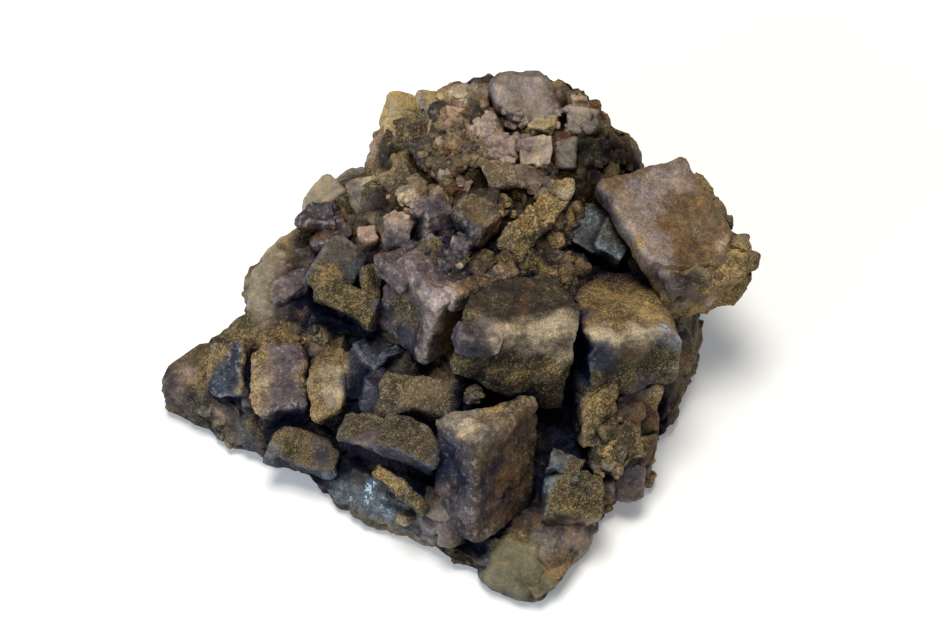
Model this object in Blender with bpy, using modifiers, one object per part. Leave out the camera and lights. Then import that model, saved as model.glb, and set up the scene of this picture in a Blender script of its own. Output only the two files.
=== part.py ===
"""Fluorite specimen: cube crystals grown on a wedge-shaped lump of rock.

Metres, +Z up. The origin is on the flat underside of the rock, the crystals face -Y and +Z,
and the rock's pointed end is at -X. The tables below are in millimetres and degrees.
"""

import math
from typing import NamedTuple

import bpy
import bmesh
import numpy as np
from mathutils import Euler, Matrix, Vector

MM = 0.001

# Driving sizes, in millimetres.
CRACK = 0.35            # gap between a crystal and what it sits in
CRYSTAL_EDGE = 1.0      # bevel of a main crystal
DRUSE_SPREAD = 0.4      # how far the small summit crystals are grown into each other
FOOT_RATIO = 0.93       # size of the resting flat against the rock's outline
FOOT_CURVE = 0.35       # share of the wall's height that curves in towards the foot
LUMP_HEIGHT = 0.9       # height of the rock's uneven lumps
LUMP_LENGTHS = (19.0, 13.0, 9.0, 6.5, 4.5)
SPOT_REACH = 6.0        # how far one spot of the rock's upper surface reaches
RIM_START = 0.86        # share of the way out at which the top starts to follow the rim's height
RING_CROWDING = 0.85    # below 1, the rings of the top lie closer together near the rim
FLOOR_CUT = 200.0       # side of the box that trims everything below the foot

# Mesh of the rock: columns round it, rings over its top, down its wall and under its foot.
ROCK_COLUMNS = 64
TOP_RINGS = 16
WALL_RINGS = 5
FOOT_RINGS = 1
ROCK_RINGS = TOP_RINGS + WALL_RINGS + FOOT_RINGS

ROCK_CENTRE = (-4.0, 0.0)

# The rock's outline from above: angle in degrees, distance from ROCK_CENTRE, height of the rim.
OUTLINE = (
    (4, 52, 10), (12, 53, 12), (24, 54, 15), (36, 54, 22), (44, 54, 34), (56, 56, 37), (66, 57, 40),
    (78, 54, 40), (92, 51, 37), (103, 51, 34), (109, 46, 32), (116, 40, 30), (123, 42, 27), (132, 44, 24),
    (140, 41, 23), (149, 44, 20), (160, 46, 19), (170, 42, 18), (177, 49, 15), (182, 59, 11), (186, 60.5, 9),
    (193, 51.5, 5), (205, 41.5, 4), (218, 36, 4), (231, 37, 4), (245, 37, 4), (258, 38, 4), (268, 40, 4),
    (276, 43, 4), (283, 48, 4), (289, 53.5, 4), (298, 52.5, 4), (307, 48, 5), (314, 44, 5), (324, 45, 5),
    (331, 46, 6), (340, 44, 8), (352, 48, 9),
)

# Spots of the rock's upper surface between the crystals: x, y and height.
SPOTS = (
    (-60, -4, 10), (-55, -8, 8), (-51, 3, 15), (-46, -12, 6), (-43, 4, 18), (-35, 3, 17), (-43, 12, 19),
    (-39, 20, 22), (-33, 33, 27), (-29, 22, 25), (-25, 29, 30), (-20, 33, 33), (-19, 22, 30), (-26, 8, 21),
    (-14, 46, 36), (-14, 35, 37), (-8, 33, 39), (-2, 30, 40), (-11, 18, 39), (-13, 12, 37), (-6, 12, 39),
    (0, 25, 41), (6, 11, 38), (14, 23, 39), (12, 13, 36), (17, 19, 31), (10, 3, 34), (10, 43, 41),
    (19, 39, 40), (27, 38, 38), (32, 35, 35), (29, 29, 30), (25, 12, 27), (22, 18, 26), (38, 22, 24),
    (-24, -2, 19), (-15, -4, 22), (-32, -19, 10), (-38, -13, 9), (-27, -12, 12), (-8, -13, 21),
    (-14, -17, 19), (2, -18, 23), (14, -15, 18), (18, -18, 12), (-24, -24, 10), (-14, -27, 11),
    (-35, -23, 7), (-22, -31, 7), (-10, -37, 6), (-2, -32, 8), (6, -45, 8), (14, -45, 8), (18, -41, 9),
    (24, -36, 8), (30, -31, 7), (26, -24, 10), (34, -17, 11), (35, -5, 15), (43, 4, 15), (47, -4, 10),
    (46, 14, 19), (38, 15, 24),
)


class Block(NamedTuple):
    """One cube crystal: centre and size in millimetres, turn about X, Y and Z in degrees."""

    centre: tuple
    size: tuple
    turn: tuple


# The main crystals. Where two would meet, the one listed first keeps its shape.
CRYSTALS = {
    "wedge_crystal": (Block((-6.6, 1.3, 32.7), (17.6, 15.6, 18.6), (-1, 14, 40)),),
    "centre_crystal": (
        Block((5.6, -10.6, 33.0), (25.6, 16.0, 22.0), (-16, 13, 14)),
        Block((1.4, -16.9, 40.8), (9.0, 5.4, 4.6), (-16, 13, 8)),
    ),
    "right_crystal": (Block((29.8, -3.1, 26.5), (18.5, 22.6, 14.0), (-22, 8, 12)),),
    "corner_crystal": (Block((40.9, 15.4, 32.4), (22.8, 28.2, 15.6), (6, 9, 27)),),
    "front_slab": (
        Block((-12.0, -27.2, 23.8), (12.4, 7.8, 6.0), (12, 10, -18)),
        Block((-21.3, -22.9, 20.3), (9.5, 6.7, 7.0), (9, -2, -17)),
    ),
    "front_chip": (
        Block((-4.8, -33.4, 11.8), (6.4, 6.7, 8.0), (42, -9, -21)),
        Block((-2.8, -38.0, 7.2), (4.8, 6.4, 6.4), (34, -8, -14)),
    ),
    "front_crystal": (Block((1.5, -30.3, 19.6), (10.6, 15.0, 26.0), (-19, -15, -41)),),
    "stained_crystal": (
        Block((19.4, -27.6, 13.6), (7.3, 4.6, 9.0), (11, 4, -18)),
        Block((20.2, -33.1, 11.2), (11.3, 9.2, 10.0), (12, 11, 0)),
    ),
    "right_cluster": (
        Block((24.9, -16.9, 19.6), (6.6, 13.6, 11.0), (49, 8, 8)),
        Block((32.3, -15.8, 15.8), (9.4, 11.8, 11.0), (43, 8, 6)),
        Block((32.2, -22.6, 10.2), (8.7, 9.8, 9.4), (46, 12, 14)),
    ),
    "hooked_crystal": (
        Block((-27.4, 11.6, 27.4), (8.6, 9.4, 9.0), (-2, 22, -24)),
        Block((-28.4, 6.1, 29.8), (5.9, 5.4, 3.4), (20, 4, -53)),
        Block((-24.3, 1.9, 29.2), (13.3, 4.6, 3.4), (15, 4, -30)),
        Block((-20.4, 6.0, 30.2), (3.4, 10.0, 3.4), (5, 16, 0)),
    ),
    "small_left_crystal": (Block((-21.3, 15.6, 32.3), (4.4, 4.2, 5.0), (3, 8, 12)),),
    "pocket_crystals": (
        Block((24.6, 18.2, 31.0), (4.4, 8.6, 8.0), (13, 12, -24)),
        Block((28.8, 15.2, 31.0), (5.0, 8.0, 8.0), (8, 16, -24)),
        Block((26.8, 16.9, 27.4), (8.0, 7.0, 5.0), (10, 14, -24)),
    ),
    "row_crystal_inner": (
        Block((-27.2, -9.6, 16.1), (7.3, 15.5, 9.0), (6, -29, 1)),
        Block((-24.0, -7.6, 15.9), (7.6, 11.0, 9.0), (18, 18, 10)),
    ),
    "row_crystal_middle": (Block((-38.0, -7.6, 13.6), (10.8, 14.6, 11.0), (8, -8, 3)),),
    "row_crystal_outer": (Block((-48.6, -3.5, 11.8), (9.4, 11.4, 8.4), (21, -25, -9)),),
    "tan_slab": (Block((-9.8, -17.2, 22.4), (17.0, 8.2, 8.0), (3, 2, -10)),),
    "front_blade": (Block((-13.7, -33.4, 16.2), (12.6, 2.2, 7.0), (22, 4, -39)),),
    "flank_slab": (Block((-34.3, -21.4, 9.6), (13.9, 6.4, 6.0), (8, 8, -4)),),
    "shoulder_crystal_upper": (Block((-31.3, 23.8, 25.6), (6.4, 5.2, 10.0), (-5, -4, -1)),),
    "shoulder_crystal_lower": (Block((-36.6, 12.0, 17.8), (6.6, 6.8, 9.0), (4, -2, -3)),),
}

# Sides that never grew square: big blocks whose face trims the crystal of that name.
OFFCUTS = {
    "centre_crystal": (Block((-15.8, -18.1, 38.8), (24.0, 50.0, 50.0), (-20, 4, -14)),),
    "corner_crystal": (Block((26.7, 8.2, 34.4), (12.0, 60.0, 50.0), (7, -31, 23)),),
}

# Small crystals of the summit and the far side, fused to the rock.
DRUSE = (
    Block((9.6, 45.1, 38.9), (8.6, 10.7, 10.0), (21, -1, -1)),
    Block((16.1, 47.3, 38.6), (4.8, 6.0, 8.0), (14, 7, 4)),
    Block((22.9, 44.6, 38.4), (2.8, 3.2, 6.0), (2, 9, 12)),
    Block((23.0, 40.6, 38.8), (5.9, 5.2, 8.0), (16, 5, -1)),
    Block((16.6, 42.2, 40.0), (3.2, 2.6, 5.0), (4, 4, -3)),
    Block((15.0, 37.5, 40.2), (4.9, 4.1, 7.0), (10, 1, -4)),
    Block((13.8, 31.2, 40.2), (6.4, 5.6, 7.0), (13, 3, 5)),
    Block((20.1, 32.2, 38.2), (3.7, 5.3, 7.0), (14, 6, 1)),
    Block((3.6, 36.3, 40.0), (5.2, 5.1, 7.0), (6, -2, 7)),
    Block((6.8, 31.6, 40.3), (6.0, 4.8, 7.0), (10, -1, -7)),
    Block((6.7, 25.3, 40.6), (5.9, 5.8, 7.0), (8, -6, 6)),
    Block((12.3, 24.6, 39.5), (7.7, 4.6, 7.0), (5, 3, 0)),
    Block((-14.4, 46.4, 33.4), (6.4, 6.4, 8.0), (10, -3, 12)),
    Block((-9.1, 47.6, 35.6), (3.8, 4.3, 6.0), (4, 0, 6)),
    Block((-5.0, 47.2, 36.6), (3.6, 4.1, 6.0), (4, -2, 15)),
    Block((-1.3, 47.0, 37.6), (3.6, 3.8, 6.0), (4, 1, 2)),
    Block((2.3, 45.1, 38.7), (3.6, 5.6, 6.0), (7, 7, 8)),
    Block((-2.0, 40.8, 38.0), (5.8, 4.9, 6.0), (6, -6, 5)),
    Block((-8.2, 40.4, 37.2), (4.6, 5.0, 6.0), (8, 4, 30)),
    Block((-14.6, 39.6, 35.0), (5.0, 4.8, 6.0), (6, -8, 14)),
    Block((-2.6, 34.4, 39.4), (5.0, 4.8, 6.0), (-4, 8, 40)),
    Block((-9.4, 32.6, 38.8), (5.0, 5.4, 6.0), (8, -6, 24)),
    Block((0.8, 29.6, 40.6), (4.6, 4.4, 6.0), (6, 6, 10)),
    Block((-4.6, 26.4, 40.0), (5.0, 4.2, 6.0), (4, -8, 34)),
    Block((-14.4, 26.6, 36.6), (5.6, 5.2, 7.0), (6, -8, 12)),
    Block((25.5, 28.0, 32.4), (4.8, 5.4, 8.0), (8, -7, 4)),
    Block((28.0, 34.4, 34.8), (5.8, 5.4, 7.0), (10, 12, 18)),
)

# Rock and crusted crystal that grew over the backs of the main crystals.
RIDGE = (
    Block((18.0, 22.2, 38.8), (5.2, 5.2, 8.0), (0, 11, -22)),
    Block((12.5, 15.2, 35.9), (6.0, 18.6, 10.0), (8, 12, -35)),
    Block((1.1, 13.3, 41.8), (8.7, 7.2, 7.0), (-4, -1, -50)),
    Block((-7.6, 14.4, 40.6), (7.0, 6.6, 7.0), (6, 8, 30)),
    Block((-14.0, 13.6, 37.6), (6.4, 6.0, 7.6), (10, -4, -14)),
    Block((-10.6, 20.4, 38.6), (6.4, 6.4, 7.0), (-6, -8, 18)),
    Block((-1.8, 8.8, 40.4), (5.0, 4.4, 6.0), (12, 6, 12)),
    Block((0.3, -20.8, 24.6), (3.0, 3.0, 15.0), (2, 3, 29)),
)

# Larger blocks of the rock itself, where its broken outside shows corners and ledges.
ROCK_BLOCKS = (
    Block((-50.8, 0.6, 9.4), (15.0, 8.0, 8.6), (8, -24, 12)),
    Block((-39.8, 15.4, 15.8), (8.6, 9.0, 12.0), (6, -10, 34)),
    Block((-28.4, 29.6, 22.0), (10.0, 8.0, 13.0), (-6, -12, 30)),
    Block((-20.8, 28.0, 27.0), (8.0, 9.0, 11.0), (8, -10, 10)),
    Block((39.6, 2.0, 12.6), (10.0, 14.0, 11.0), (14, 10, 16)),
    Block((11.8, -42.0, 5.4), (14.0, 9.0, 8.0), (10, 6, -24)),
    Block((-18.0, -30.6, 6.0), (15.0, 7.0, 6.4), (24, -4, -20)),
    Block((-21.6, -2.2, 18.4), (2.2, 9.0, 9.0), (14, 16, -36)),
    Block((-17.4, -4.0, 19.0), (2.2, 8.6, 9.0), (14, 20, -44)),
    Block((-21.0, 36.4, 16.4), (13.0, 11.0, 15.0), (-10, 8, 34)),
    Block((2.0, 46.0, 17.0), (14.0, 10.0, 16.0), (6, 12, -12)),
    Block((25.0, 41.0, 19.0), (15.0, 12.0, 16.0), (-12, -8, 30)),
    Block((12.0, 48.4, 29.0), (10.0, 8.0, 10.0), (14, -10, 8)),
    Block((42.6, 19.0, 10.0), (11.0, 13.0, 12.0), (6, -8, 22)),
    Block((-36.0, 24.0, 9.0), (10.0, 12.0, 11.0), (-8, 10, 42)),
)

# Colour and roughness of each kind of surface.
FINISHES = {
    "brown_rock": ((0.20, 0.14, 0.07, 1.0), 0.75),
    "purple_crystal": ((0.16, 0.10, 0.13, 1.0), 0.45),
    "brown_crystal": ((0.20, 0.13, 0.08, 1.0), 0.5),
    "ochre_crystal": ((0.27, 0.18, 0.06, 1.0), 0.8),
    "grey_crystal": ((0.14, 0.16, 0.17, 1.0), 0.4),
}

FINISH_OF = {
    "centre_crystal": "ochre_crystal",
    "right_crystal": "ochre_crystal",
    "wedge_crystal": "purple_crystal",
    "corner_crystal": "brown_crystal",
    "front_crystal": "purple_crystal",
    "stained_crystal": "ochre_crystal",
    "right_cluster": "brown_crystal",
    "hooked_crystal": "ochre_crystal",
    "small_left_crystal": "brown_crystal",
    "pocket_crystals": "grey_crystal",
    "row_crystal_inner": "ochre_crystal",
    "row_crystal_middle": "purple_crystal",
    "row_crystal_outer": "purple_crystal",
    "tan_slab": "brown_crystal",
    "front_slab": "ochre_crystal",
    "front_blade": "ochre_crystal",
    "front_chip": "brown_crystal",
    "flank_slab": "ochre_crystal",
    "shoulder_crystal_upper": "purple_crystal",
    "shoulder_crystal_lower": "purple_crystal",
}


# Scene and helpers.
def clear_scene():
    for thing in list(bpy.data.objects):
        bpy.data.objects.remove(thing, do_unlink=True)


def new_collection(name):
    collection = bpy.data.collections.new(name)
    bpy.context.scene.collection.children.link(collection)
    return collection


def make_material(name):
    colour, roughness = FINISHES[name]
    material = bpy.data.materials.new(name)
    material.use_nodes = True
    shader = material.node_tree.nodes["Principled BSDF"]
    shader.inputs["Base Color"].default_value = colour
    shader.inputs["Roughness"].default_value = roughness
    shader.inputs["Metallic"].default_value = 0.0
    return material


def add_object(name, mesh, collection):
    thing = bpy.data.objects.new(name, mesh)
    collection.objects.link(thing)
    return thing


def apply_modifiers(thing):
    """Replaces the object's mesh by the one that its modifiers make, and removes them."""
    graph = bpy.context.evaluated_depsgraph_get()
    mesh = bpy.data.meshes.new_from_object(thing.evaluated_get(graph))
    thing.modifiers.clear()
    old = thing.data
    thing.data = mesh
    bpy.data.meshes.remove(old)


def join_or_cut(thing, other, operation):
    """Boolean of thing with other, which is removed afterwards."""
    step = thing.modifiers.new("step", "BOOLEAN")
    step.object = other
    step.operation = operation
    step.solver = "EXACT"
    apply_modifiers(thing)
    bpy.data.objects.remove(other, do_unlink=True)


# Crystals.
def turn_of(block):
    return Euler([math.radians(angle) for angle in block.turn]).to_matrix()


def place_of(block):
    return Matrix.Translation(Vector(block.centre) * MM) @ turn_of(block).to_4x4()


def make_block(block, collection, edge=0.0, grown=0.0):
    """A cube crystal in place, with bevelled edges, or grown on every side by some millimetres."""
    size = [(side + 2.0 * grown) * MM for side in block.size]
    shape = bmesh.new()
    bmesh.ops.create_cube(shape, size=1.0, matrix=Matrix.Diagonal((*size, 1.0)))
    mesh = bpy.data.meshes.new("block")
    shape.to_mesh(mesh)
    shape.free()
    thing = add_object("block", mesh, collection)
    thing.matrix_world = place_of(block)
    if edge > 0.0:
        bevel = thing.modifiers.new("edge", "BEVEL")
        bevel.width = edge * MM
        bevel.segments = 1
        bevel.limit_method = "NONE"
        apply_modifiers(thing)
    return thing


def corners_of(block, grown):
    """The eight corners of a block grown by some millimetres on every side."""
    half = np.array(block.size) / 2.0 + grown
    signs = np.array([(x, y, z) for x in (-1, 1) for y in (-1, 1) for z in (-1, 1)])
    return np.array(block.centre) + (signs * half) @ np.array(turn_of(block)).T


def blocks_meet(one, other):
    """Whether two blocks come nearer than the crack: no plane along their faces or edges parts them."""
    first = corners_of(one, CRACK)
    second = corners_of(other, 0.0)
    turns = [np.array(turn_of(block)).T for block in (one, other)]
    sides = [axis for turn in turns for axis in turn]
    crossed = [np.cross(a, b) for a in turns[0] for b in turns[1]]
    for axis in sides + [c for c in crossed if np.linalg.norm(c) > 1e-3]:
        near = first @ axis
        far = second @ axis
        if near.max() < far.min() or far.max() < near.min():
            return False
    return True


def make_socket(name, block, collection):
    """The room that one block of a crystal takes up, with the crack round it."""
    socket = make_block(block, collection, grown=CRACK)
    for offcut in OFFCUTS.get(name, ()):
        join_or_cut(socket, make_block(offcut, collection, grown=-CRACK), "DIFFERENCE")
    return socket


def make_crystal(name, blocks, before, collection):
    """Joins a crystal's blocks, trims its sides and cuts away what would touch anything made before it."""
    thing = make_block(blocks[0], collection, CRYSTAL_EDGE)
    for block in blocks[1:]:
        join_or_cut(thing, make_block(block, collection, CRYSTAL_EDGE), "UNION")
    for offcut in OFFCUTS.get(name, ()):
        join_or_cut(thing, make_block(offcut, collection), "DIFFERENCE")
    for other_name, other in before:
        if any(blocks_meet(other, block) for block in blocks):
            join_or_cut(thing, make_socket(other_name, other, collection), "DIFFERENCE")
    thing.name = name
    return thing


# Rock.
def rock_outline(angle):
    """Distance and rim height of the rock's edge, in straight steps between the outline's points."""
    table = np.array(OUTLINE, dtype=float)
    distance = np.interp(angle, table[:, 0], table[:, 1], period=360.0)
    rim = np.interp(angle, table[:, 0], table[:, 2], period=360.0)
    return distance, rim


def rock_height(x, y):
    """Height of the upper surface: each spot's height, weighted by how near the spot is."""
    spots = np.array(SPOTS, dtype=float)
    away = (x[..., None] - spots[:, 0]) ** 2 + (y[..., None] - spots[:, 1]) ** 2
    weight = np.exp(-away / (2.0 * SPOT_REACH**2)) + 1e-6
    return (weight * spots[:, 2]).sum(-1) / weight.sum(-1)


def rock_lumps(x, y, z):
    """Uneven lumps: crossed waves of five lengths, about -1 to 1."""
    total = np.zeros_like(x)
    for k, length in enumerate(LUMP_LENGTHS):
        wave = 2.0 * math.pi / length
        total += np.sin(wave * (x + 0.6 * y) + 1.7 * k) * np.cos(wave * (y - 0.5 * x + 0.8 * z) + 2.3 * k)
    return 2.0 * total / len(LUMP_LENGTHS)


def rock_points(angle, ring):
    """Places of the rock's points in millimetres, by angle in degrees and ring from top to foot."""
    distance, rim = rock_outline(angle)
    out = np.clip(ring / TOP_RINGS, 0.0, 1.0) ** RING_CROWDING
    down = np.clip((ring - TOP_RINGS) / WALL_RINGS, 0.0, 1.0)
    under = np.clip((ring - TOP_RINGS - WALL_RINGS) / FOOT_RINGS, 0.0, 1.0)
    inward = np.clip((down - 1.0 + FOOT_CURVE) / FOOT_CURVE, 0.0, 1.0) ** 2
    reach = distance * out * (1.0 - (1.0 - FOOT_RATIO) * inward) * (1.0 - under)
    x = ROCK_CENTRE[0] + reach * np.cos(np.radians(angle))
    y = ROCK_CENTRE[1] + reach * np.sin(np.radians(angle))
    near_rim = np.clip((out - RIM_START) / (1.0 - RIM_START), 0.0, 1.0)
    top = rock_height(x, y) * (1.0 - near_rim) + rim * near_rim
    z = top * (1.0 - down)
    lumps = LUMP_HEIGHT * rock_lumps(x, y, z) * (1.0 - down)
    side = np.where(ring > TOP_RINGS, 1.0 - inward, 0.0) * LUMP_HEIGHT * rock_lumps(y, z, x)
    x = x + side * np.cos(np.radians(angle))
    y = y + side * np.sin(np.radians(angle))
    return np.stack([x, y, np.maximum(z + lumps, 0.0)], axis=-1)


def make_rock_body(collection):
    """A sphere whose rings are laid over the rock's top, down its wall and under its flat foot."""
    shape = bmesh.new()
    bmesh.ops.create_uvsphere(shape, u_segments=ROCK_COLUMNS, v_segments=ROCK_RINGS, radius=1.0)
    start = np.array([vertex.co for vertex in shape.verts])
    polar = np.arccos(np.clip(start[:, 2], -1.0, 1.0))
    angle = np.degrees(np.arctan2(start[:, 1], start[:, 0])) % 360.0
    places = rock_points(angle, np.round(polar / math.pi * ROCK_RINGS))
    for vertex, place in zip(shape.verts, places):
        vertex.co = Vector(place) * MM
    bmesh.ops.triangulate(shape, faces=shape.faces)
    mesh = bpy.data.meshes.new("rock_matrix")
    shape.to_mesh(mesh)
    shape.free()
    return add_object("rock_matrix", mesh, collection)


def make_rock(collection):
    """The rock with its fused crystals, a socket for each main crystal and a flat foot."""
    rock = make_rock_body(collection)
    for block in DRUSE:
        join_or_cut(rock, make_block(block, collection, grown=DRUSE_SPREAD), "UNION")
    for block in ROCK_BLOCKS:
        join_or_cut(rock, make_block(block, collection, CRYSTAL_EDGE), "UNION")
    for name, blocks in CRYSTALS.items():
        for block in blocks:
            join_or_cut(rock, make_socket(name, block, collection), "DIFFERENCE")
    for block in RIDGE:
        join_or_cut(rock, make_block(block, collection, CRYSTAL_EDGE), "UNION")
    below = Block((0.0, 0.0, -FLOOR_CUT / 2.0), (FLOOR_CUT,) * 3, (0, 0, 0))
    join_or_cut(rock, make_block(below, collection), "DIFFERENCE")
    return rock


def main():
    clear_scene()
    specimen = new_collection("fluorite_specimen")
    materials = {name: make_material(name) for name in FINISHES}
    rock = make_rock(specimen)
    rock.data.materials.append(materials["brown_rock"])
    before = [("rock_matrix", block) for block in RIDGE]
    for name, blocks in CRYSTALS.items():
        crystal = make_crystal(name, blocks, before, specimen)
        crystal.data.materials.append(materials[FINISH_OF[name]])
        before.extend((name, block) for block in blocks)


main()
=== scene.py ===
# %% [markdown]
# # A fluorite specimen
#
# The real object is a hand-sized lump of brown rock. Cube crystals of fluorite stand on its front slope,
# purple and brown, some under a crust of fine ochre grains, and a crust of small pinkish and yellow crystals
# covers its summit. This lesson dresses the plain solids of that lump: every surface is worked out with
# numpy as a function of two parameters, and every finish is a node material that reads the object's own
# coordinates and painted attributes.

# %% Load the plain solids
import math
from collections import namedtuple

import bpy
import numpy as np
from mathutils import Euler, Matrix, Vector


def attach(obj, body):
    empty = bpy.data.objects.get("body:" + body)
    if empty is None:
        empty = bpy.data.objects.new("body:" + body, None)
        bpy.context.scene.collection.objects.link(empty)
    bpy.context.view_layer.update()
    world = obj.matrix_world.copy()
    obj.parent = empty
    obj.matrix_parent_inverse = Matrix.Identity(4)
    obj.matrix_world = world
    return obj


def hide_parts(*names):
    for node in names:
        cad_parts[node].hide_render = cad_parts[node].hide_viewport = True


MM = 0.001
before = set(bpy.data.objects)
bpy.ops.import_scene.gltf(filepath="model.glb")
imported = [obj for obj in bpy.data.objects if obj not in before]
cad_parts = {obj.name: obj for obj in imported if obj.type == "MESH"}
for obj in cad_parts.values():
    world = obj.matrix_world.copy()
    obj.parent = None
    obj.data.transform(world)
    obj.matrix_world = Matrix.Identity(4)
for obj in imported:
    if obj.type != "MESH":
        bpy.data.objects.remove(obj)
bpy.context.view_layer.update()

# %% [markdown]
# ## Smooth noise
#
# Rock and crystal are never even. Blender has noise textures, but a shape needs numbers for thousands of
# points at once, so the noise is made here: random numbers sit on the crossings of a 3-D lattice, and a
# point between the crossings takes an eased mix of the eight around it. Adding finer layers gives a rough,
# natural unevenness.

# %% Smooth noise
LATTICE_SIDE = 32
LATTICE_START = 300.0
LATTICE = np.random.default_rng(11).uniform(-1.0, 1.0, (LATTICE_SIDE,) * 3)
SKEW = np.array(Euler((0.5, 0.7, 0.3)).to_matrix())


def lattice_cells(points, size, shift):
    """Each point's place on the turned lattice, counted in cells, and the low corner of its cell."""
    place = points @ SKEW / size + LATTICE_START + shift
    return place, np.floor(place).astype(int)


def smooth_noise(points, size, seed=0):
    """Values from -1 to 1: an eased mix of the random numbers at the eight corners of each point's cell."""
    place, low = lattice_cells(points, size, 7.37 * seed)
    part = place - low
    part = part * part * (3.0 - 2.0 * part)
    total = np.zeros(len(points))
    for corner in np.ndindex(2, 2, 2):
        share = np.prod(np.where(np.array(corner) == 1, part, 1.0 - part), axis=1)
        total += share * LATTICE[tuple(((low + corner) % LATTICE_SIDE).T)]
    return total


def rough_noise(points, size, layers=3, seed=0):
    """Layers of smooth noise, each half as large and half as high as the one before."""
    return sum(smooth_noise(points, size / 2**k, seed + k) / 2**k for k in range(layers))


def noise_vectors(points, size, seeds):
    """Three rough noises side by side: a vector for each point."""
    return np.stack([rough_noise(points, size, 3, seed) for seed in seeds], axis=1)


# %% [markdown]
# ## Broken facets
#
# Broken rock and crusts of tiny crystals are made of flat faces that meet at steps. One way is to scatter
# real fragments, another is cellular noise: each point belongs to the nearest of many scattered sites, and
# each site carries a small tilted plane. The height of that plane is the point's displacement.

# %% Broken facets
SITES = np.random.default_rng(23).uniform(0.0, 1.0, (LATTICE_SIDE,) * 3 + (7,))


def facets(points, size, seed=0):
    """Height on the nearest site's tilted plane, the way to the next site, and the site's own number."""
    place, low = lattice_cells(points, size, 5.1 * seed)
    nearest, second = np.full((2, len(points)), np.inf)
    height, kind = np.zeros((2, len(points)))
    for offset in np.ndindex(3, 3, 3):
        cell = low + offset - 1
        site = SITES[tuple((cell % LATTICE_SIDE).T)]
        away = place - cell - site[:, :3]
        distance = (away**2).sum(1)
        closer = distance < nearest
        second = np.where(closer, nearest, np.minimum(second, distance))
        plane = (away * (site[:, 3:6] * 2.0 - 1.0)).sum(1) + site[:, 6] - 0.5
        height = np.where(closer, plane, height)
        kind = np.where(closer, site[:, 6], kind)
        nearest = np.minimum(nearest, distance)
    return height, np.sqrt(second) - np.sqrt(nearest), kind


# %% [markdown]
# ## Pigments and stains
#
# The specimen's colours come in patches: iron stain, frosting, clear brown or purple fluorite. Some patches
# are painted light: dark painted shade in the cracks and painted glints. Painting a texture by hand would
# need a picture, so the patches are a list of pigments and the places where each one shows, in millimetres. A
# point's colour is the mix of the pigments near it, and each pigment also says how grainy (crust) and how
# shiny (gloss) it is.

# %% Pigments
# Pigment: colour in display values, crust, gloss, glow (light that passes through thin edges).
PIGMENTS = {
    "ochre": ((156, 127, 74), 1, 0, 0),
    "khaki": ((116, 97, 55), 1, 0, 0),
    "drab": ((88, 74, 50), 0.7, 0.1, 0),
    "olive": ((92, 79, 43), 0.8, 0, 0),
    "tan": ((118, 99, 67), 0.6, 0.1, 0),
    "brown": ((106, 79, 45), 0.2, 0.4, 0),
    "umber": ((52, 39, 22), 0.3, 0.3, 0),
    "rust": ((112, 70, 34), 0.7, 0.1, 0),
    "orange": ((150, 110, 66), 0.4, 0.2, 0),
    "yellow": ((178, 150, 94), 0.4, 0.2, 0.2),
    # Gold marks a painted glint.
    "gold": ((222, 212, 150), 0, 0.9, 0),
    "purple": ((84, 69, 69), 0.1, 0.4, 0),
    "plum": ((56, 48, 56), 0.1, 0.5, 0),
    "mauve": ((98, 82, 80), 0.1, 0.4, 0.1),
    "tip": ((84, 72, 74), 0, 0.4, 0.1),
    "pink": ((156, 132, 112), 0.1, 0.4, 0.4),
    "rose": ((144, 128, 116), 0, 0.4, 0.4),
    "frost": ((148, 132, 124), 0, 0.4, 0.1),
    "cream": ((180, 160, 128), 0.3, 0.3, 0.2),
    "grey": ((114, 102, 88), 0.2, 0.3, 0.2),
    "slate": ((76, 78, 76), 0.1, 0.6, 0),
    "steel": ((84, 94, 100), 0.1, 0.7, 0),
    "teal": ((60, 80, 88), 0, 0.6, 0),
    # Ice marks painted glints and a painted cool reflection.
    "ice": ((80, 94, 104), 0, 0.85, 0),
    "rind": ((148, 134, 108), 0, 0.3, 0.6),
    "glass": ((112, 104, 72), 0, 0.4, 0.6),
    "moss": ((76, 73, 56), 0.7, 0.1, 0),
    # Navy is painted shade: the blue black of gaps and of sides that the light hardly reaches.
    "navy": ((24, 29, 50), 0, 0.6, 0),
    "black": ((16, 18, 23), 0.1, 0.2, 0),
}


def linear(colour):
    """Display values, 0 to 255, as light amounts: ((value + 0.055) / 1.055)^2.4 above the dark end."""
    share = np.array(colour, dtype=float) / 255.0
    return np.where(share > 0.04045, ((share + 0.055) / 1.055) ** 2.4, share / 12.92)


PALETTE = {name: np.array([*linear(colour), *rest]) for name, (colour, *rest) in PIGMENTS.items()}


def palette_rows(names):
    """The named pigments, separated by spaces, as the rows of an array."""
    return np.array([PALETTE[name] for name in names.split()])
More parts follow.
